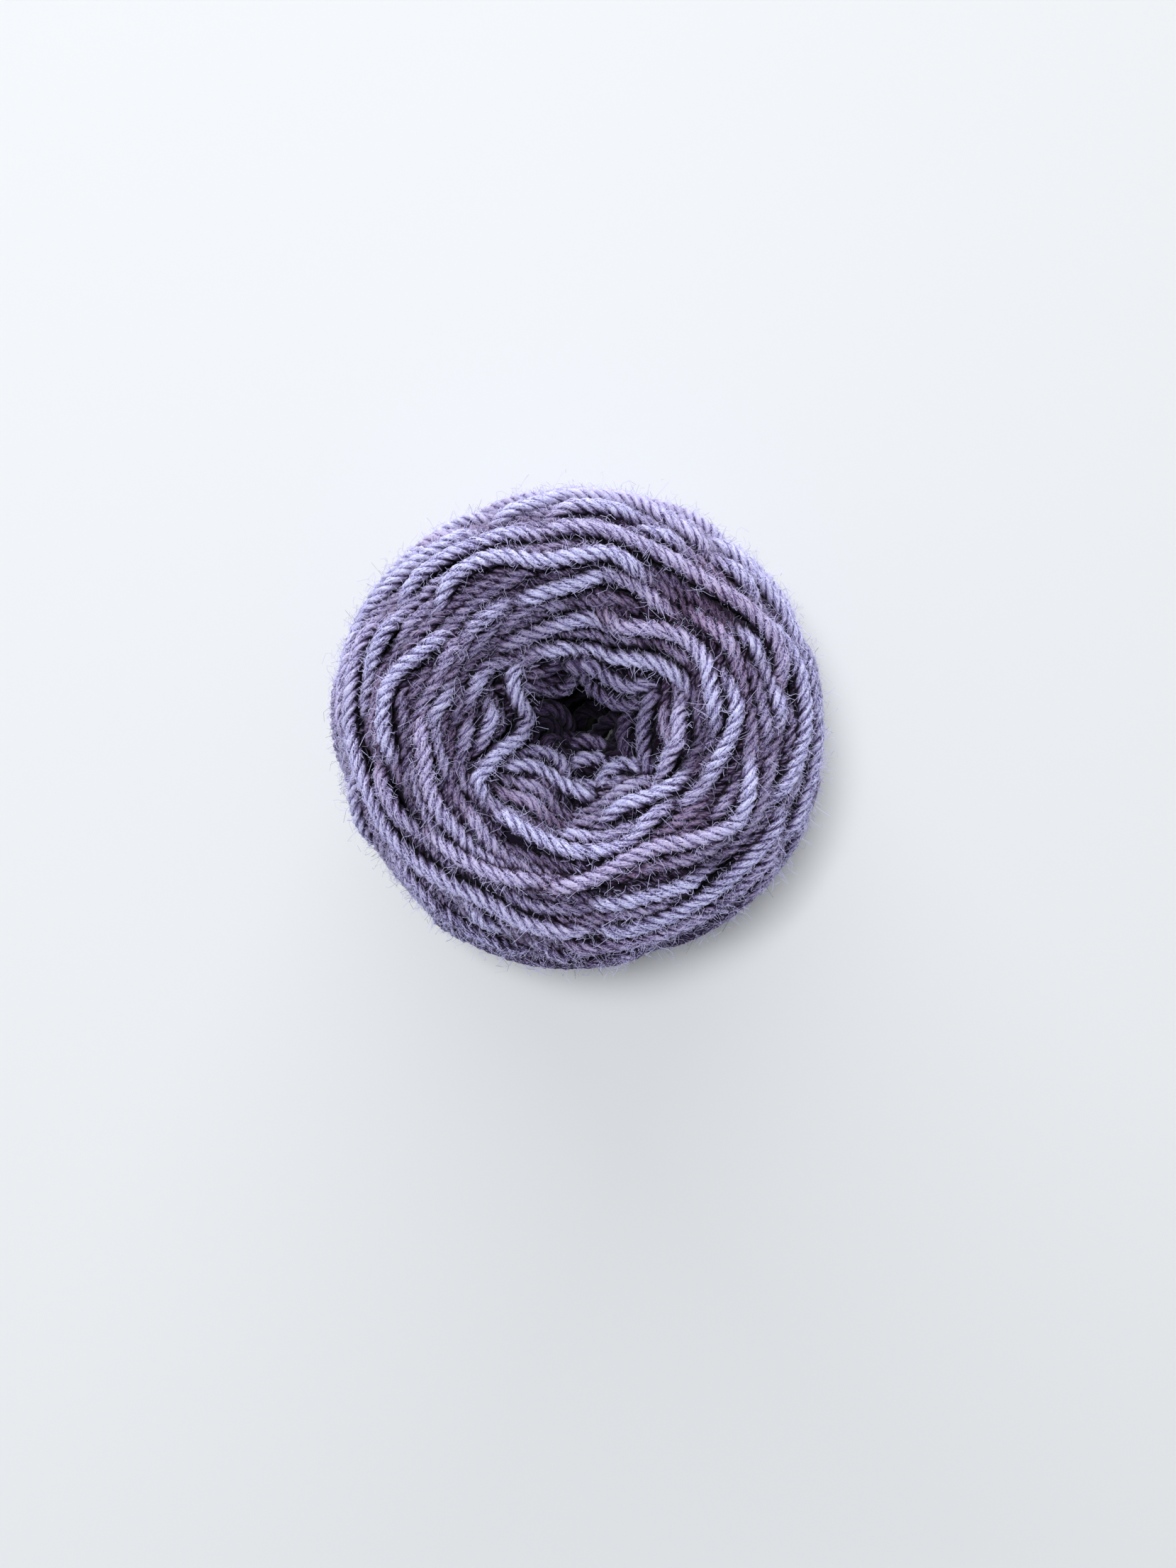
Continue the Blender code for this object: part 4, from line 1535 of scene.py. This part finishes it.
@dataclass(frozen=True)
class Fuzz:
    """Loose fibres that stand off the yarn: thin, bent, flat strips.

    They grow on the yarn's outer side, more on the brushed upper part of the cake than lower down, and
    less where it is gloomy. Lengths are in millimetres, and the rest are shares of a fibre's length.
    """

    density: float = 1500000.0
    shortest: float = 0.7
    longest: float = 3.3
    rarity: float = 2.6
    thickness: float = 0.028
    taper: float = 0.7
    steps: int = 6
    seed: int = 5
    draw_seed: int = 20
    reach_seed: int = 31
    outer_side: Span = (0.1, 0.8)
    gloom_range: Span = (0.80, 0.35)
    brushed_heights: Span = (20.0, 45.0)
    least_brushed: float = 0.45
    stand: float = 0.45
    droop: float = 0.55
    bend: float = 0.75
    curl: float = 0.46
    curl_angle: float = 6.5
    floor_gap: float = 0.1

    def _roots(self, tree: GeometryTree) -> Socket:
        """Scatters the points that the fibres grow from, with what each fibre's shape needs.

        Args:
            tree: The tree, whose geometry input holds the yarn.

        Returns:
            The points, with their place, outward direction, random draws and length stored.
        """
        density = tree.size("Fibres Per Square Metre", self.density)
        shortest = tree.size("Shortest", self.shortest * MM)
        longest = tree.size("Longest", self.longest * MM)
        seed = tree.size("Seed", self.seed, "NodeSocketInt")
        outer = tree.vector_sum("DOT_PRODUCT", tree.normal(), tree.stored("up", VECTOR))
        outer = tree.mapped(outer, *self.outer_side)
        lit = tree.mapped(tree.stored("gloom"), *self.gloom_range)
        height = tree.add("ShaderNodeSeparateXYZ", {"Vector": tree.position()}).outputs["Z"]
        lowest, highest = self.brushed_heights
        brushed = tree.mapped(height, lowest * MM, highest * MM, self.least_brushed)
        density = tree.sum("MULTIPLY", density, outer)
        density = tree.sum("MULTIPLY", density, tree.sum("MULTIPLY", lit, brushed))
        yarn = {"Mesh": tree.entry.outputs["Geometry"], "Density": density, "Seed": seed}
        spread = tree.add("GeometryNodeDistributePointsOnFaces", yarn, distribute_method="RANDOM")
        points = tree.store(spread.outputs["Points"], "out", spread.outputs["Normal"], VECTOR)
        points = tree.store(points, "root", tree.position(), VECTOR)
        kind = "FunctionNodeRandomValue"
        for number, label in enumerate(("lean", "bend", "curl")):
            sockets = {"Min": (-1.0,) * 3, "Max": (1.0,) * 3, "Seed": self.draw_seed + number}
            draw = tree.add(kind, sockets, data_type=VECTOR)
            points = tree.store(points, label, draw.outputs["Value"], VECTOR)
        draw = tree.add(kind, {2: 0.0, 3: 1.0, "Seed": self.reach_seed}, data_type="FLOAT").outputs[1]
        reach = tree.mapped(tree.sum("POWER", draw, self.rarity), 0.0, 1.0, shortest, longest)
        return tree.store(points, "reach", reach)

    def _path(self, tree: GeometryTree, factor: Socket) -> Socket:
        """Where a fibre runs.

        Args:
            tree: The tree.
            factor: How far along the fibre a place lies, from 0 to 1.

        Returns:
            The place.
        """
        out, lean, bend, curl = (tree.stored(name, VECTOR) for name in ("out", "lean", "bend", "curl"))
        start = tree.vector_sum("MULTIPLY_ADD", out, (self.stand,) * 3, lean)
        start = tree.scaled(tree.vector_sum("NORMALIZE", start), factor)
        bend = tree.vector_sum("MULTIPLY_ADD", out, (-self.droop,) * 3, bend)
        bend = tree.scaled(bend, tree.sum("MULTIPLY", tree.sum("MULTIPLY", factor, factor), self.bend))
        wave = tree.sum("SINE", tree.sum("MULTIPLY", factor, self.curl_angle))
        curl = tree.scaled(curl, tree.sum("MULTIPLY", wave, self.curl))
        path = tree.vector_sum("ADD", tree.vector_sum("ADD", start, bend), curl)
        path = tree.scaled(path, tree.stored("reach"))
        place = tree.vector_sum("ADD", tree.stored("root", VECTOR), path)
        return tree.vector_sum("MAXIMUM", place, (-1.0, -1.0, self.floor_gap * MM))

    def tree(self, name: str, material: bpy.types.Material) -> GeometryTree:
        """Builds the tree that turns a piece of yarn into the fibres that stand off it.

        Args:
            name: The tree's name.
            material: The fibres' finish.

        Returns:
            The tree, ready to run on a mesh of yarn.
        """
        tree = GeometryTree(name)
        thickness = tree.size("Thickness", self.thickness * MM)
        line = tree.add("GeometryNodeCurvePrimitiveLine", {"End": (0.0, 0.0, 1.0)}).outputs["Curve"]
        line = tree.add("GeometryNodeResampleCurve", {"Curve": line, "Count": self.steps}).outputs["Curve"]
        grown = {"Points": self._roots(tree), "Instance": line}
        hairs = tree.add("GeometryNodeInstanceOnPoints", grown).outputs[0]
        hairs = tree.add("GeometryNodeRealizeInstances", {"Geometry": hairs}).outputs[0]
        factor = tree.add("GeometryNodeSplineParameter").outputs["Factor"]
        hairs = tree.moved(hairs, Position=self._path(tree, factor))
        taper = tree.sum("SUBTRACT", 1.0, tree.sum("MULTIPLY", factor, self.taper))
        hairs = tree.add("GeometryNodeSetCurveRadius", {"Curve": hairs, "Radius": taper}).outputs[0]
        half = tree.combined(X=thickness)
        ends = {"Start": tree.scaled(half, -1.0), "End": half}
        section = tree.add("GeometryNodeCurvePrimitiveLine", ends).outputs["Curve"]
        tree.close(tree.swept(Curve=hairs, Profile_Curve=section), material)
        return tree


@dataclass(frozen=True)
class Complexion:
    """How the dye and the painted light and shade differ from place to place on the cake, in millimetres.

    Older turns, which lie deeper, get painted shade: darker and rosier. Of the turns that hang in the mouth,
    those that get less light are painted darker and rosier.
    """

    usual_rose: float = 0.06
    most_usual_rose: float = 0.55
    deep_shade_rose: float = 0.35
    deep_shade_rose_depths: Span = (1.4, 4.0)
    deep_painted_shade: float = 0.62
    deep_painted_shade_depths: Span = (1.8, 5.0)
    hanging_shade: float = 1.6
    hanging_light: float = 0.45
    hanging_gloom: float = 1.08
    hanging_falloff: float = 1.45
    shaded_hanging_rose: float = 0.35
    upper_rose: tuple[float, ...] = (0.55, 19.0, 9.0, 18.0, 8.0)
    lower_rim_shade_rose: tuple[float, ...] = (0.65, 2.0, 14.0, -41.0, 4.0)
    rim_radii: Span = (35.0, 41.0)
    rim_painted_light: float = 0.5
    far_side_painted_light: float = 3.4
    far_side: Span = (0.3, 1.0)
    near_side_painted_shade: float = 4.4
    near_side: Span = (-0.35, -0.95)
    mouth_radii: Span = (23.0, 15.0)
    mouth_painted_light: float = 0.9
    throat_middle: Span = (0.5, 0.8)
    throat_radii: Span = (14.0, 8.5)
    throat_heights: Span = (55.0, 41.0)
    wall_heights: Span = (55.0, 47.5)
    wall_gloom: float = 0.97

    def rose(self, places: Array, depth: Array, wander: Array) -> Array:
        """How much rose shows at each place: rosier dye in patches and along the turn, and a painted shade
        tint on deep turns and at the lower rim.

        Args:
            places: Rows of x, y and z.
            depth: How deep the turn lies there.
            wander: How the dye wanders along the turn.

        Returns:
            Its share, from 0 to 1.
        """
        total = np.zeros(len(places))
        # A rosier dye patch up and to the right, and a painted shade tint at the lower rim.
        for share, x, wide, y, high in (self.upper_rose, self.lower_rim_shade_rose):
            total += share * np.exp(-(((places[:, 0] - x) / wide) ** 2 + ((places[:, 1] - y) / high) ** 2))
        total = np.clip(total, 0.0, 1.0) + np.clip(self.usual_rose + wander, 0.0, self.most_usual_rose)
        # Painted shade tint: deeper turns rosier.
        total += self.deep_shade_rose * smooth_step(depth, *self.deep_shade_rose_depths)
        return np.clip(total, 0.0, 1.0)

    def hanging(self, light: float) -> Triple:
        """The painted light and shade of a turn that hangs in the mouth, as its shade, gloom and rose, by the
        light that it gets.
        """
        gloom = 1.0 - self.hanging_gloom * light**self.hanging_falloff
        return self.hanging_shade * (light - self.hanging_light), gloom, self.shaded_hanging_rose * (1.0 - light)

    def painted_rim_and_mouth_light(self, places: Array) -> Array:
        """The painted light and shade that the rim and the mouth get, added to the shade.

        Args:
            places: Rows of x, y and z.

        Returns:
            What is added to the shade, less than nothing where painted shade falls on the rim's near side.
        """
        radius = np.hypot(places[:, 0], places[:, 1])
        toward = places[:, 1] / np.maximum(radius, 1.0)
        # Painted light on the rim, most on its far side toward the window, and painted shade on its near
        # side.
        rim = self.rim_painted_light + self.far_side_painted_light * smooth_step(toward, *self.far_side)
        rim = rim - self.near_side_painted_shade * smooth_step(toward, *self.near_side)
        # Painted light round the mouth, where the walls shade the turns.
        mouth = self.mouth_painted_light * smooth_step(radius, *self.mouth_radii)
        return rim * smooth_step(radius, *self.rim_radii) + mouth

    def gloom(self, places: Array, depth: Array) -> Array:
        """The painted shade at each place, for how little light reaches it down the mouth or under later
        turns.

        Args:
            places: Rows of x, y and z.
            depth: How deep the turn lies there.

        Returns:
            The gloom, from 0 to 1.
        """
        x, y = self.throat_middle
        inside = smooth_step(np.hypot(places[:, 0] - x, places[:, 1] - y), *self.throat_radii)
        inside = inside * smooth_step(places[:, 2], *self.throat_heights)
        return np.maximum(self.deep_painted_shade * smooth_step(depth, *self.deep_painted_shade_depths), inside)

    def behind(self, places: Array) -> Array:
        """The painted shade on the wall behind the turns that hang in the mouth, where little light reaches.
        """
        return self.wall_gloom * smooth_step(places[:, 2], *self.wall_heights)


@dataclass
class Thread:
    """The centre line of a length of yarn, with what the yarn's tree and finish need at each point."""

    places: Array
    up: Array
    shade: Array | float
    gloom: Array | float
    rose: Array | float
    start_turn: float
    twist: float
    swell: Array | float

    def row(self, name: str) -> Array:
        """One of its values at every point."""
        return np.broadcast_to(getattr(self, name), len(self.places))


@dataclass
class YarnCake:
    """The whole cake: its heart in painted shadow colours, every turn that shows, and the fuzz on them."""

    form: CakeForm
    cover: Cover
    winder: Winder
    yarn: PliedYarn
    fuzz: Fuzz
    crowding: Crowding
    complexion: Complexion
    heart_depth: float = 5.2
    heart_depth_in_hole: float = 3.4
    heart_grid: tuple[int, int] = (64, 84)
    most_triangles: int = 185000
    lowest_share: float = 0.98
    mouth_twist: float = 0.94
    rose_wander: Span = (0.55, 30.0)
    shade_wander: Span = (0.35, 18.0)
    swell_wander: Span = (0.045, 5.0)
    hang_step: float = 0.7
    hang_lean: float = 0.08
    hang_twist: float = 0.88
    hang_swell: float = 1.06
    dive_reach: float = 2.6
    dive_drop: float = 3.4
    pieces: list[bpy.types.Object] = field(default_factory=list)

    def _heart_level(self, run: Array) -> Array:
        """How far under the outline the heart's surface lies.

        Args:
            run: Distances along the outline.

        Returns:
            The depth at each.
        """
        throat = self.form.station_run["throat"]
        hole = smooth_step(run, throat + 3.0, throat - 8.0)
        return self.heart_depth + hole * (self.heart_depth_in_hole - self.heart_depth)

    def _heart(self, material: bpy.types.Material) -> None:
        """Makes the heart that closes the gaps between the turns, in painted shadow colours.

        Args:
            material: Its finish.
        """
        columns, rows = self.heart_grid
        clocks = np.linspace(0.0, FULL_TURN, columns, endpoint=False)
        runs = np.linspace(0.0, self.form.total, rows, endpoint=False)
        clock, run = (values.ravel() for values in np.meshgrid(clocks, runs))
        places = self.form.place(clock, run, -self._heart_level(run))
        faces = []
        for row in range(rows):
            here, below = row * columns, (row + 1) % rows * columns
            for column in range(columns):
                after = (column + 1) % columns
                faces.append((here + column, below + column, below + after, here + after))
        mesh = bpy.data.meshes.new("cake_heart")
        mesh.from_pydata((places * MM).tolist(), [], faces)
        mesh.materials.append(material)
        mesh.shade_smooth()
        self._keep(bpy.data.objects.new("cake_heart", mesh))

    def _keep(self, piece: bpy.types.Object) -> bpy.types.Object:
        """Puts a piece in the scene and in the list of pieces."""
        bpy.context.scene.collection.objects.link(piece)
        self.pieces.append(piece)
        return piece

    def _dive(self, tip: Array, back: Array) -> Array:
        """Where a turn that hangs in the mouth goes on out of sight.

        Args:
            tip: Its last place that shows.
            back: The place before that.

        Returns:
            A place beyond the tip and lower.
        """
        step = (tip - back)[:2]
        step = self.dive_reach * step / np.linalg.norm(step)
        return np.array([*(tip[:2] + step), tip[2] - self.dive_drop])

    def _hanging(self, turn: InnerTurn, draws: np.random.Generator) -> Thread:
        """Lays one old turn that hangs in the mouth.

        Args:
            turn: The turn as the camera sees it.
            draws: The source of random numbers.

        Returns:
            Its thread.
        """
        places = np.array(turn.places)
        dives = [self._dive(places[0], places[1]), self._dive(places[-1], places[-2])]
        path = through(np.vstack([dives[0], places, dives[1]]), 12)
        path[:, :2] = self.winder.view.under_sight(path[:, :2], path[:, 2])
        length = np.concatenate([[0.0], np.cumsum(np.linalg.norm(np.diff(path, axis=0), axis=1))])
        even = np.arange(0.0, length[-1], self.hang_step)
        path = np.stack([np.interp(even, length, column) for column in path.T], axis=1)
        up = np.column_stack([-self.hang_lean * path[:, :2], np.ones(len(path))])
        # Painted light and shade from the light that reaches the turn.
        shade, gloom, rose = self.complexion.hanging(turn.light)
        return Thread(
            places=path,
            up=up / np.linalg.norm(up, axis=1)[:, None],
            shade=shade,
            gloom=gloom,
            rose=rose,
            start_turn=draws.uniform(0.0, FULL_TURN),
            twist=self.hang_twist,
            swell=self.hang_swell,
        )

    def _wound(self, strand: Strand, every: int, draws: np.random.Generator) -> Thread:
        """Lays one stretch of a strand.

        Args:
            strand: The stretch.
            every: How many of the strand's own steps go into one step of the thread.
            draws: The source of random numbers.

        Returns:
            Its thread.
        """
        length = strand.length - strand.length[0]
        clock, run, depth = (row[::every] for row in (strand.clock, strand.run, strand.depth))
        places = self.form.place(clock, run, -depth)
        lowest = self.yarn.radius * (1.0 - self.yarn.flatten) * self.lowest_share
        places[:, 2] = np.maximum(places[:, 2], lowest)
        rose, shade, swell = (
            reach * slow_noise(length, spacing, draws)[::every]
            for reach, spacing in (self.rose_wander, self.shade_wander, self.swell_wander)
        )
        # Painted shade: deep turns, the throat and the wall behind the hanging turns get gloom.
        gloom = self.complexion.gloom(places, depth)
        if strand.zone is Zone.HOLE:
            gloom = np.maximum(gloom, self.complexion.behind(places))
        return Thread(
            places=places,
            up=self.form.outward(clock, run),
            # The dye's random shade, plus painted light and shade on the rim and round the mouth.
            shade=strand.shade + shade + self.complexion.painted_rim_and_mouth_light(places),
            gloom=gloom,
            # Rosier dye, plus a painted shade tint on deep turns and at the lower rim.
            rose=self.complexion.rose(places, depth, rose),
            start_turn=draws.uniform(0.0, FULL_TURN),
            twist=self.mouth_twist if strand.zone is Zone.MOUTH else 1.0,
            swell=1.0 + swell,
        )

    def _shares(self, strands: list[Strand], every: int, most: int) -> list[list[Strand]]:
        """Deals the stretches that show into as few pieces as may hold them.

        Args:
            strands: The strands of one zone.
            every: How many of a strand's own steps go into one step of a piece.
            most: The most centre points that one piece may have.

        Returns:
            The stretches of each piece.
        """
        shown = [stretch for strand in strands for stretch in strand.stretches()]
        points = np.cumsum([len(stretch.clock) / every for stretch in shown])
        parts = int(points[-1] / most) + 1
        return [
            [s for s, end in zip(shown, points) if part <= (end - 1e-6) * parts / points[-1] < part + 1]
            for part in range(parts)
        ]

    def _centre_lines(self, name: str, threads: list[Thread]) -> bpy.types.Object:
        """Makes one mesh of centre lines.

        Args:
            name: The piece's name.
            threads: The threads that it holds.

        Returns:
            The object, with what the yarn's tree reads on its points.
        """
        starts = np.cumsum([0, *(len(thread.places) for thread in threads)])
        edges = [
            np.column_stack([np.arange(start, end - 1), np.arange(start + 1, end)])
            for start, end in zip(starts, starts[1:])
        ]
        places = np.vstack([thread.places for thread in threads]) * MM
        mesh = bpy.data.meshes.new(name)
        mesh.from_pydata(places.tolist(), np.vstack(edges).tolist(), [])
        for label in ("shade", "gloom", "rose", "start_turn", "twist", "swell"):
            row = np.concatenate([thread.row(label) for thread in threads])
            mesh.attributes.new(label, "FLOAT", "POINT").data.foreach_set("value", row)
        up = np.vstack([thread.up for thread in threads])
        mesh.attributes.new("up", VECTOR, "POINT").data.foreach_set("vector", up.ravel())
        return self._keep(bpy.data.objects.new(name, mesh))

    def _fuzz_on(self, yarn: bpy.types.Object, share: float, material: bpy.types.Material) -> None:
        """Adds the loose fibres of one piece of yarn.

        Args:
            yarn: The piece, whose gloom is final.
            share: Its share of the fuzz's density.
            material: The fibres' finish.
        """
        seed = self.fuzz.seed + len(self.pieces)
        fibres = replace(self.fuzz, density=self.fuzz.density * share, seed=seed)
        piece = self._keep(bpy.data.objects.new(f"fuzz_on_{yarn.name}", yarn.data.copy()))
        fibres.tree(f"fuzz_{yarn.name}", material).run_on(piece)

    def build(self) -> list[bpy.types.Object]:
        """Winds the cake and makes its pieces.

        Returns:
            The pieces, plain meshes with their finishes.
        """
        wool = WoolFinish().build()
        self._heart(PlainFinish("wool_in_shadow", *SHADOW_COLOURS, 400.0, 1.0).build())
        strands = self.winder.wind()
        wound = []
        for zone, points_round, every in SWEEPS:
            chosen = [s for s in strands if s.zone is zone]
            shares = self._shares(chosen, every, int(self.most_triangles / (2 * points_round)))
            for number, share in enumerate(shares):
                name = zone.value if number == 0 else f"{zone.value}_{number + 1}"
                draws = np.random.default_rng(len(share) + 3)
                threads = [self._wound(s, every, draws) for s in share if len(s.clock) > 2 * every]
                if zone is Zone.HOLE and number == 0:
                    threads += [self._hanging(turn, draws) for turn in INNER_TURNS]
                piece = self._centre_lines(name, threads)
                self.yarn.tree(f"plied_{name}", points_round, wool).run_on(piece)
                wound.append((piece, zone))
        self.crowding.shade([piece for piece, _ in wound])
        loose = FibreFinish().build()
        for piece, zone in wound:
            if zone in FUZZ_SHARES:
                self._fuzz_on(piece, FUZZ_SHARES[zone], loose)
        return self.pieces


@dataclass(frozen=True)
class SoftLight:
    """A flat lamp, in metres and watts."""

    name: str
    place: Triple
    size: Span
    power: float
    colour: Triple
    aim: Triple = (0.0, 0.0, 0.03)

    def hang(self) -> None:
        """Puts the lamp in the scene, turned to its aim."""
        data = bpy.data.lights.new(self.name, "AREA")
        data.shape = "RECTANGLE"
        data.size, data.size_y = self.size
        data.energy = self.power
        data.color = self.colour
        light = bpy.data.objects.new(self.name, data)
        light.location = self.place
        light.rotation_mode = "QUATERNION"
        light.rotation_quaternion = (Vector(self.aim) - Vector(self.place)).to_track_quat("-Z", "Y")
        bpy.context.scene.collection.objects.link(light)


@dataclass(frozen=True)
class Studio:
    """A plain pale floor, soft light from the top of the picture, and the camera straight above."""

    view: Viewpoint
    window: SoftLight = SoftLight("window", (-0.15, 1.25, 0.34), (1.6, 0.5), 14.5, (0.98, 0.99, 1.0))
    overhead: SoftLight = SoftLight("overhead", (-0.15, 0.12, 1.10), (0.25, 0.25), 7.9, (0.97, 0.98, 1.0))
    floor_half: float = 1.5
    floor_colour: Triple = (0.80, 0.815, 0.822)
    horizon_light: float = 0.80
    room_light: float = 0.28
    room_heights: Span = (0.10, 0.40)
    room_colour: tuple[float, ...] = (0.93, 0.96, 1.0, 1.0)
    sensor: float = 36.0

    def floor(self) -> None:
        """Makes the floor."""
        half = self.floor_half
        mesh = bpy.data.meshes.new("pale_floor")
        corners = [(-half, -half, 0.0), (half, -half, 0.0), (half, half, 0.0), (-half, half, 0.0)]
        mesh.from_pydata(corners, [], [(0, 1, 2, 3)])
        finish = PlainFinish("floor_paint", self.floor_colour, self.floor_colour, 3.0, 0.7)
        mesh.materials.append(finish.build())
        floor = bpy.data.objects.new("pale_floor", mesh)
        bpy.context.scene.collection.objects.link(floor)

    def lights(self) -> None:
        """Adds the window's light, the lamp above and the room's own light, brighter at the horizon."""
        self.window.hang()
        self.overhead.hang()
        world = bpy.data.worlds.new("room")
        bpy.context.scene.world = world
        world.use_nodes = True
        sketch = TreeSketch(world.node_tree)
        ground = world.node_tree.nodes["Background"]
        way = sketch.add("ShaderNodeTexCoord").outputs["Generated"]
        height = sketch.add("ShaderNodeSeparateXYZ", {"Vector": way}).outputs["Z"]
        glow = (self.horizon_light, self.room_light)
        strength = sketch.mapped(height, *self.room_heights, *glow, smooth=True)
        ground.inputs["Color"].default_value = self.room_colour
        world.node_tree.links.new(strength, ground.inputs["Strength"])

    def camera(self) -> None:
        """Adds the camera, which looks straight down."""
        data = bpy.data.cameras.new("from_above")
        data.lens = self.view.lens
        data.sensor_width = self.sensor
        camera = bpy.data.objects.new("from_above", data)
        height = self.view.belt_height + self.view.distance
        camera.location = (self.view.across * MM, self.view.along * MM, height * MM)
        bpy.context.scene.collection.objects.link(camera)
        bpy.context.scene.camera = camera
        bpy.context.scene.view_settings.view_transform = "Standard"


def main() -> None:
    """Builds the cake and its studio, and reports the pieces."""
    logging.basicConfig(level=logging.INFO, format="%(message)s")
    view = Viewpoint()
    form = CakeForm()
    cover = Cover(form)
    winder = Winder(form, cover, view)
    cake = YarnCake(form, cover, winder, PliedYarn(), Fuzz(), Crowding(), Complexion())
    studio = Studio(view)
    studio.camera()
    studio.lights()
    studio.floor()
    for piece in cake.build():
        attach(piece, BODY)
        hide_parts(NODE)
        LOG.info("%s: %d faces", piece.name, len(piece.data.polygons))


if __name__ == "__main__":
    main()
